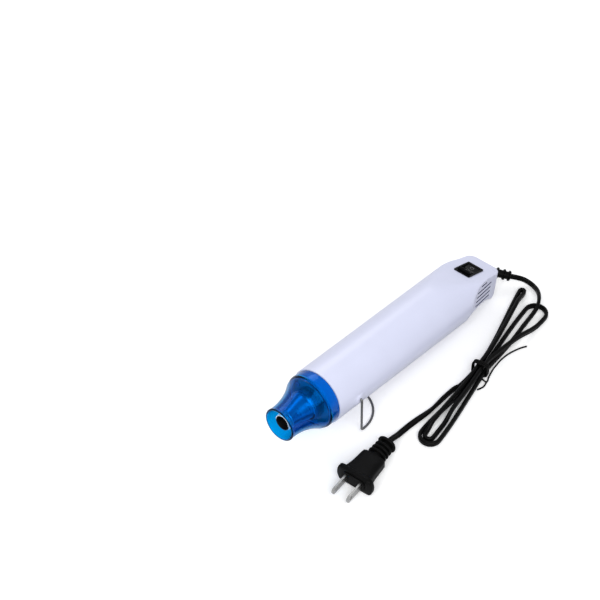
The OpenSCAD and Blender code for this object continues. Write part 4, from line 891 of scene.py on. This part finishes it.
def on_plug(points):
    """Points of the plug's frame, x out of its face, as it lies, in metres."""
    p = np.array(points, float)
    c, s = math.cos(math.pi + PLUG_TURN), math.sin(math.pi + PLUG_TURN)
    return np.stack([PLUG_AT[0] + p[:, 0] * c - p[:, 1] * s, PLUG_AT[1] + p[:, 0] * s + p[:, 1] * c,
                     PLUG_AT[2] + p[:, 2]], 1) * MM


ring = np.linspace(0, 2 * math.pi, 72, endpoint=False)


def boxy(x, half_w, half_h, power):
    """A section of the plug, squarer with a higher power."""
    r = (np.abs(np.cos(ring) / half_w) ** power + np.abs(np.sin(ring) / half_h) ** power) ** (-1 / power)
    return [(x, q * math.cos(a), q * math.sin(a)) for q, a in zip(r, ring)]


def eared(x, shrink):
    """A section of the flange: a disc cut flat above and below, with round ears at its sides."""
    slab = (PLUG_H / 2 - shrink) / np.maximum(np.abs(np.sin(ring)), 1e-6)
    r = ((PLUG_R - shrink) ** -14.0 + slab ** -14.0) ** (-1 / 14)
    return [(x, q * math.cos(a), q * math.sin(a)) for q, a in zip(r, ring)]


body_sections = [boxy(BACK_X, 7.4, 3.6, 4), boxy(BACK_X + 0.5, 8.9, 4.7, 4),
                 boxy(BACK_X + 1.4, 9.6, 5.0, 4.5), boxy(BACK_X + 4, 9.75, 5.4, 5),
                 boxy(-14, 9.9, 5.6, 5), boxy(-8, 10.3, 5.8, 5),
                 boxy(-4, 11.0, 6.1, 5), boxy(-1.5, 11.4, 6.6, 5), boxy(0.6, 11.6, 7.0, 5)]
points, faces = loft(body_sections)
plug = mesh_piece("plug_moulding", on_plug(points), faces, plug_pvc)
points, faces = loft([eared(NECK_X, 0.9), eared(NECK_X + 0.25, 0.3), eared(NECK_X + 0.8, 0), eared(2.8, 0),
                      eared(3.35, 0.3), eared(3.6, 0.9)])
combine(plug, mesh_piece("flange", on_plug(points), faces, plug_pvc), "UNION")
points, faces = loft([boxy(3.2, 9.1, 5.2, 6), boxy(4.4, 9.1, 5.2, 6), boxy(4.6, 8.9, 5.0, 6)])
combine(plug, mesh_piece("face", on_plug(points), faces, plug_pvc), "UNION")
points, faces = loft([boxy(RELIEF_END_X, 4.3, 4.3, 2), boxy(RELIEF_END_X + 0.3, 4.6, 4.6, 2),
                      boxy(BACK_X + 1, 4.6, 4.6, 2)])
combine(plug, mesh_piece("core", on_plug(points), faces, plug_pvc), "UNION")
RIB_PROFILE = [(-0.5, 0.88), (-0.42, 0.95), (-0.2, 1.0), (0.2, 1.0), (0.42, 0.95), (0.5, 0.88)]
RIB_PITCH = 3.7
rib_points, rib_faces = loft([boxy(x, r, r * 0.94, 2.3) for x, r in RIB_PROFILE])
rib_turn = (0, 0, math.pi + PLUG_TURN)
rib_spots = [(on_plug([(RELIEF_END_X + 1.2, 0, 0)])[0], rib_turn, (2.4, 7.4, 7.4))]
for k in (1, 2, 3):
    place = on_plug([(RELIEF_END_X + 2.15 + RIB_PITCH * k, 0, 0)])[0]
    rib_spots.append((place, rib_turn, (1.9, 6.7 + 0.25 * k, 6.7)))
rib = mesh_piece("rib", np.array(rib_points) * MM, rib_faces, plug_pvc)
ribs = repeated("relief_ribs", rib, rib_spots, plug_pvc)
combine(plug, ribs, "UNION")
BLADE_Y, POCKET_HALF_T, POCKET_HALF_W = 6.35, 0.8, 3.25
for side in (-1, 1):
    points, faces = block(-5, 6, side * BLADE_Y - POCKET_HALF_T, side * BLADE_Y + POCKET_HALF_T,
                          -POCKET_HALF_W, POCKET_HALF_W)
    combine(plug, mesh_piece("pocket", on_plug(points), faces, plug_pvc), "DIFFERENCE")
finish_mesh(plug, plug_pvc, 40)
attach(plug, "tool")
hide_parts("plug_body")
blade_nickel = metal("blade_nickel", (0.5, 0.5, 0.49), 0.3, (1, 10, 10), 260)
dress(blade_nickel, "plug_blades")
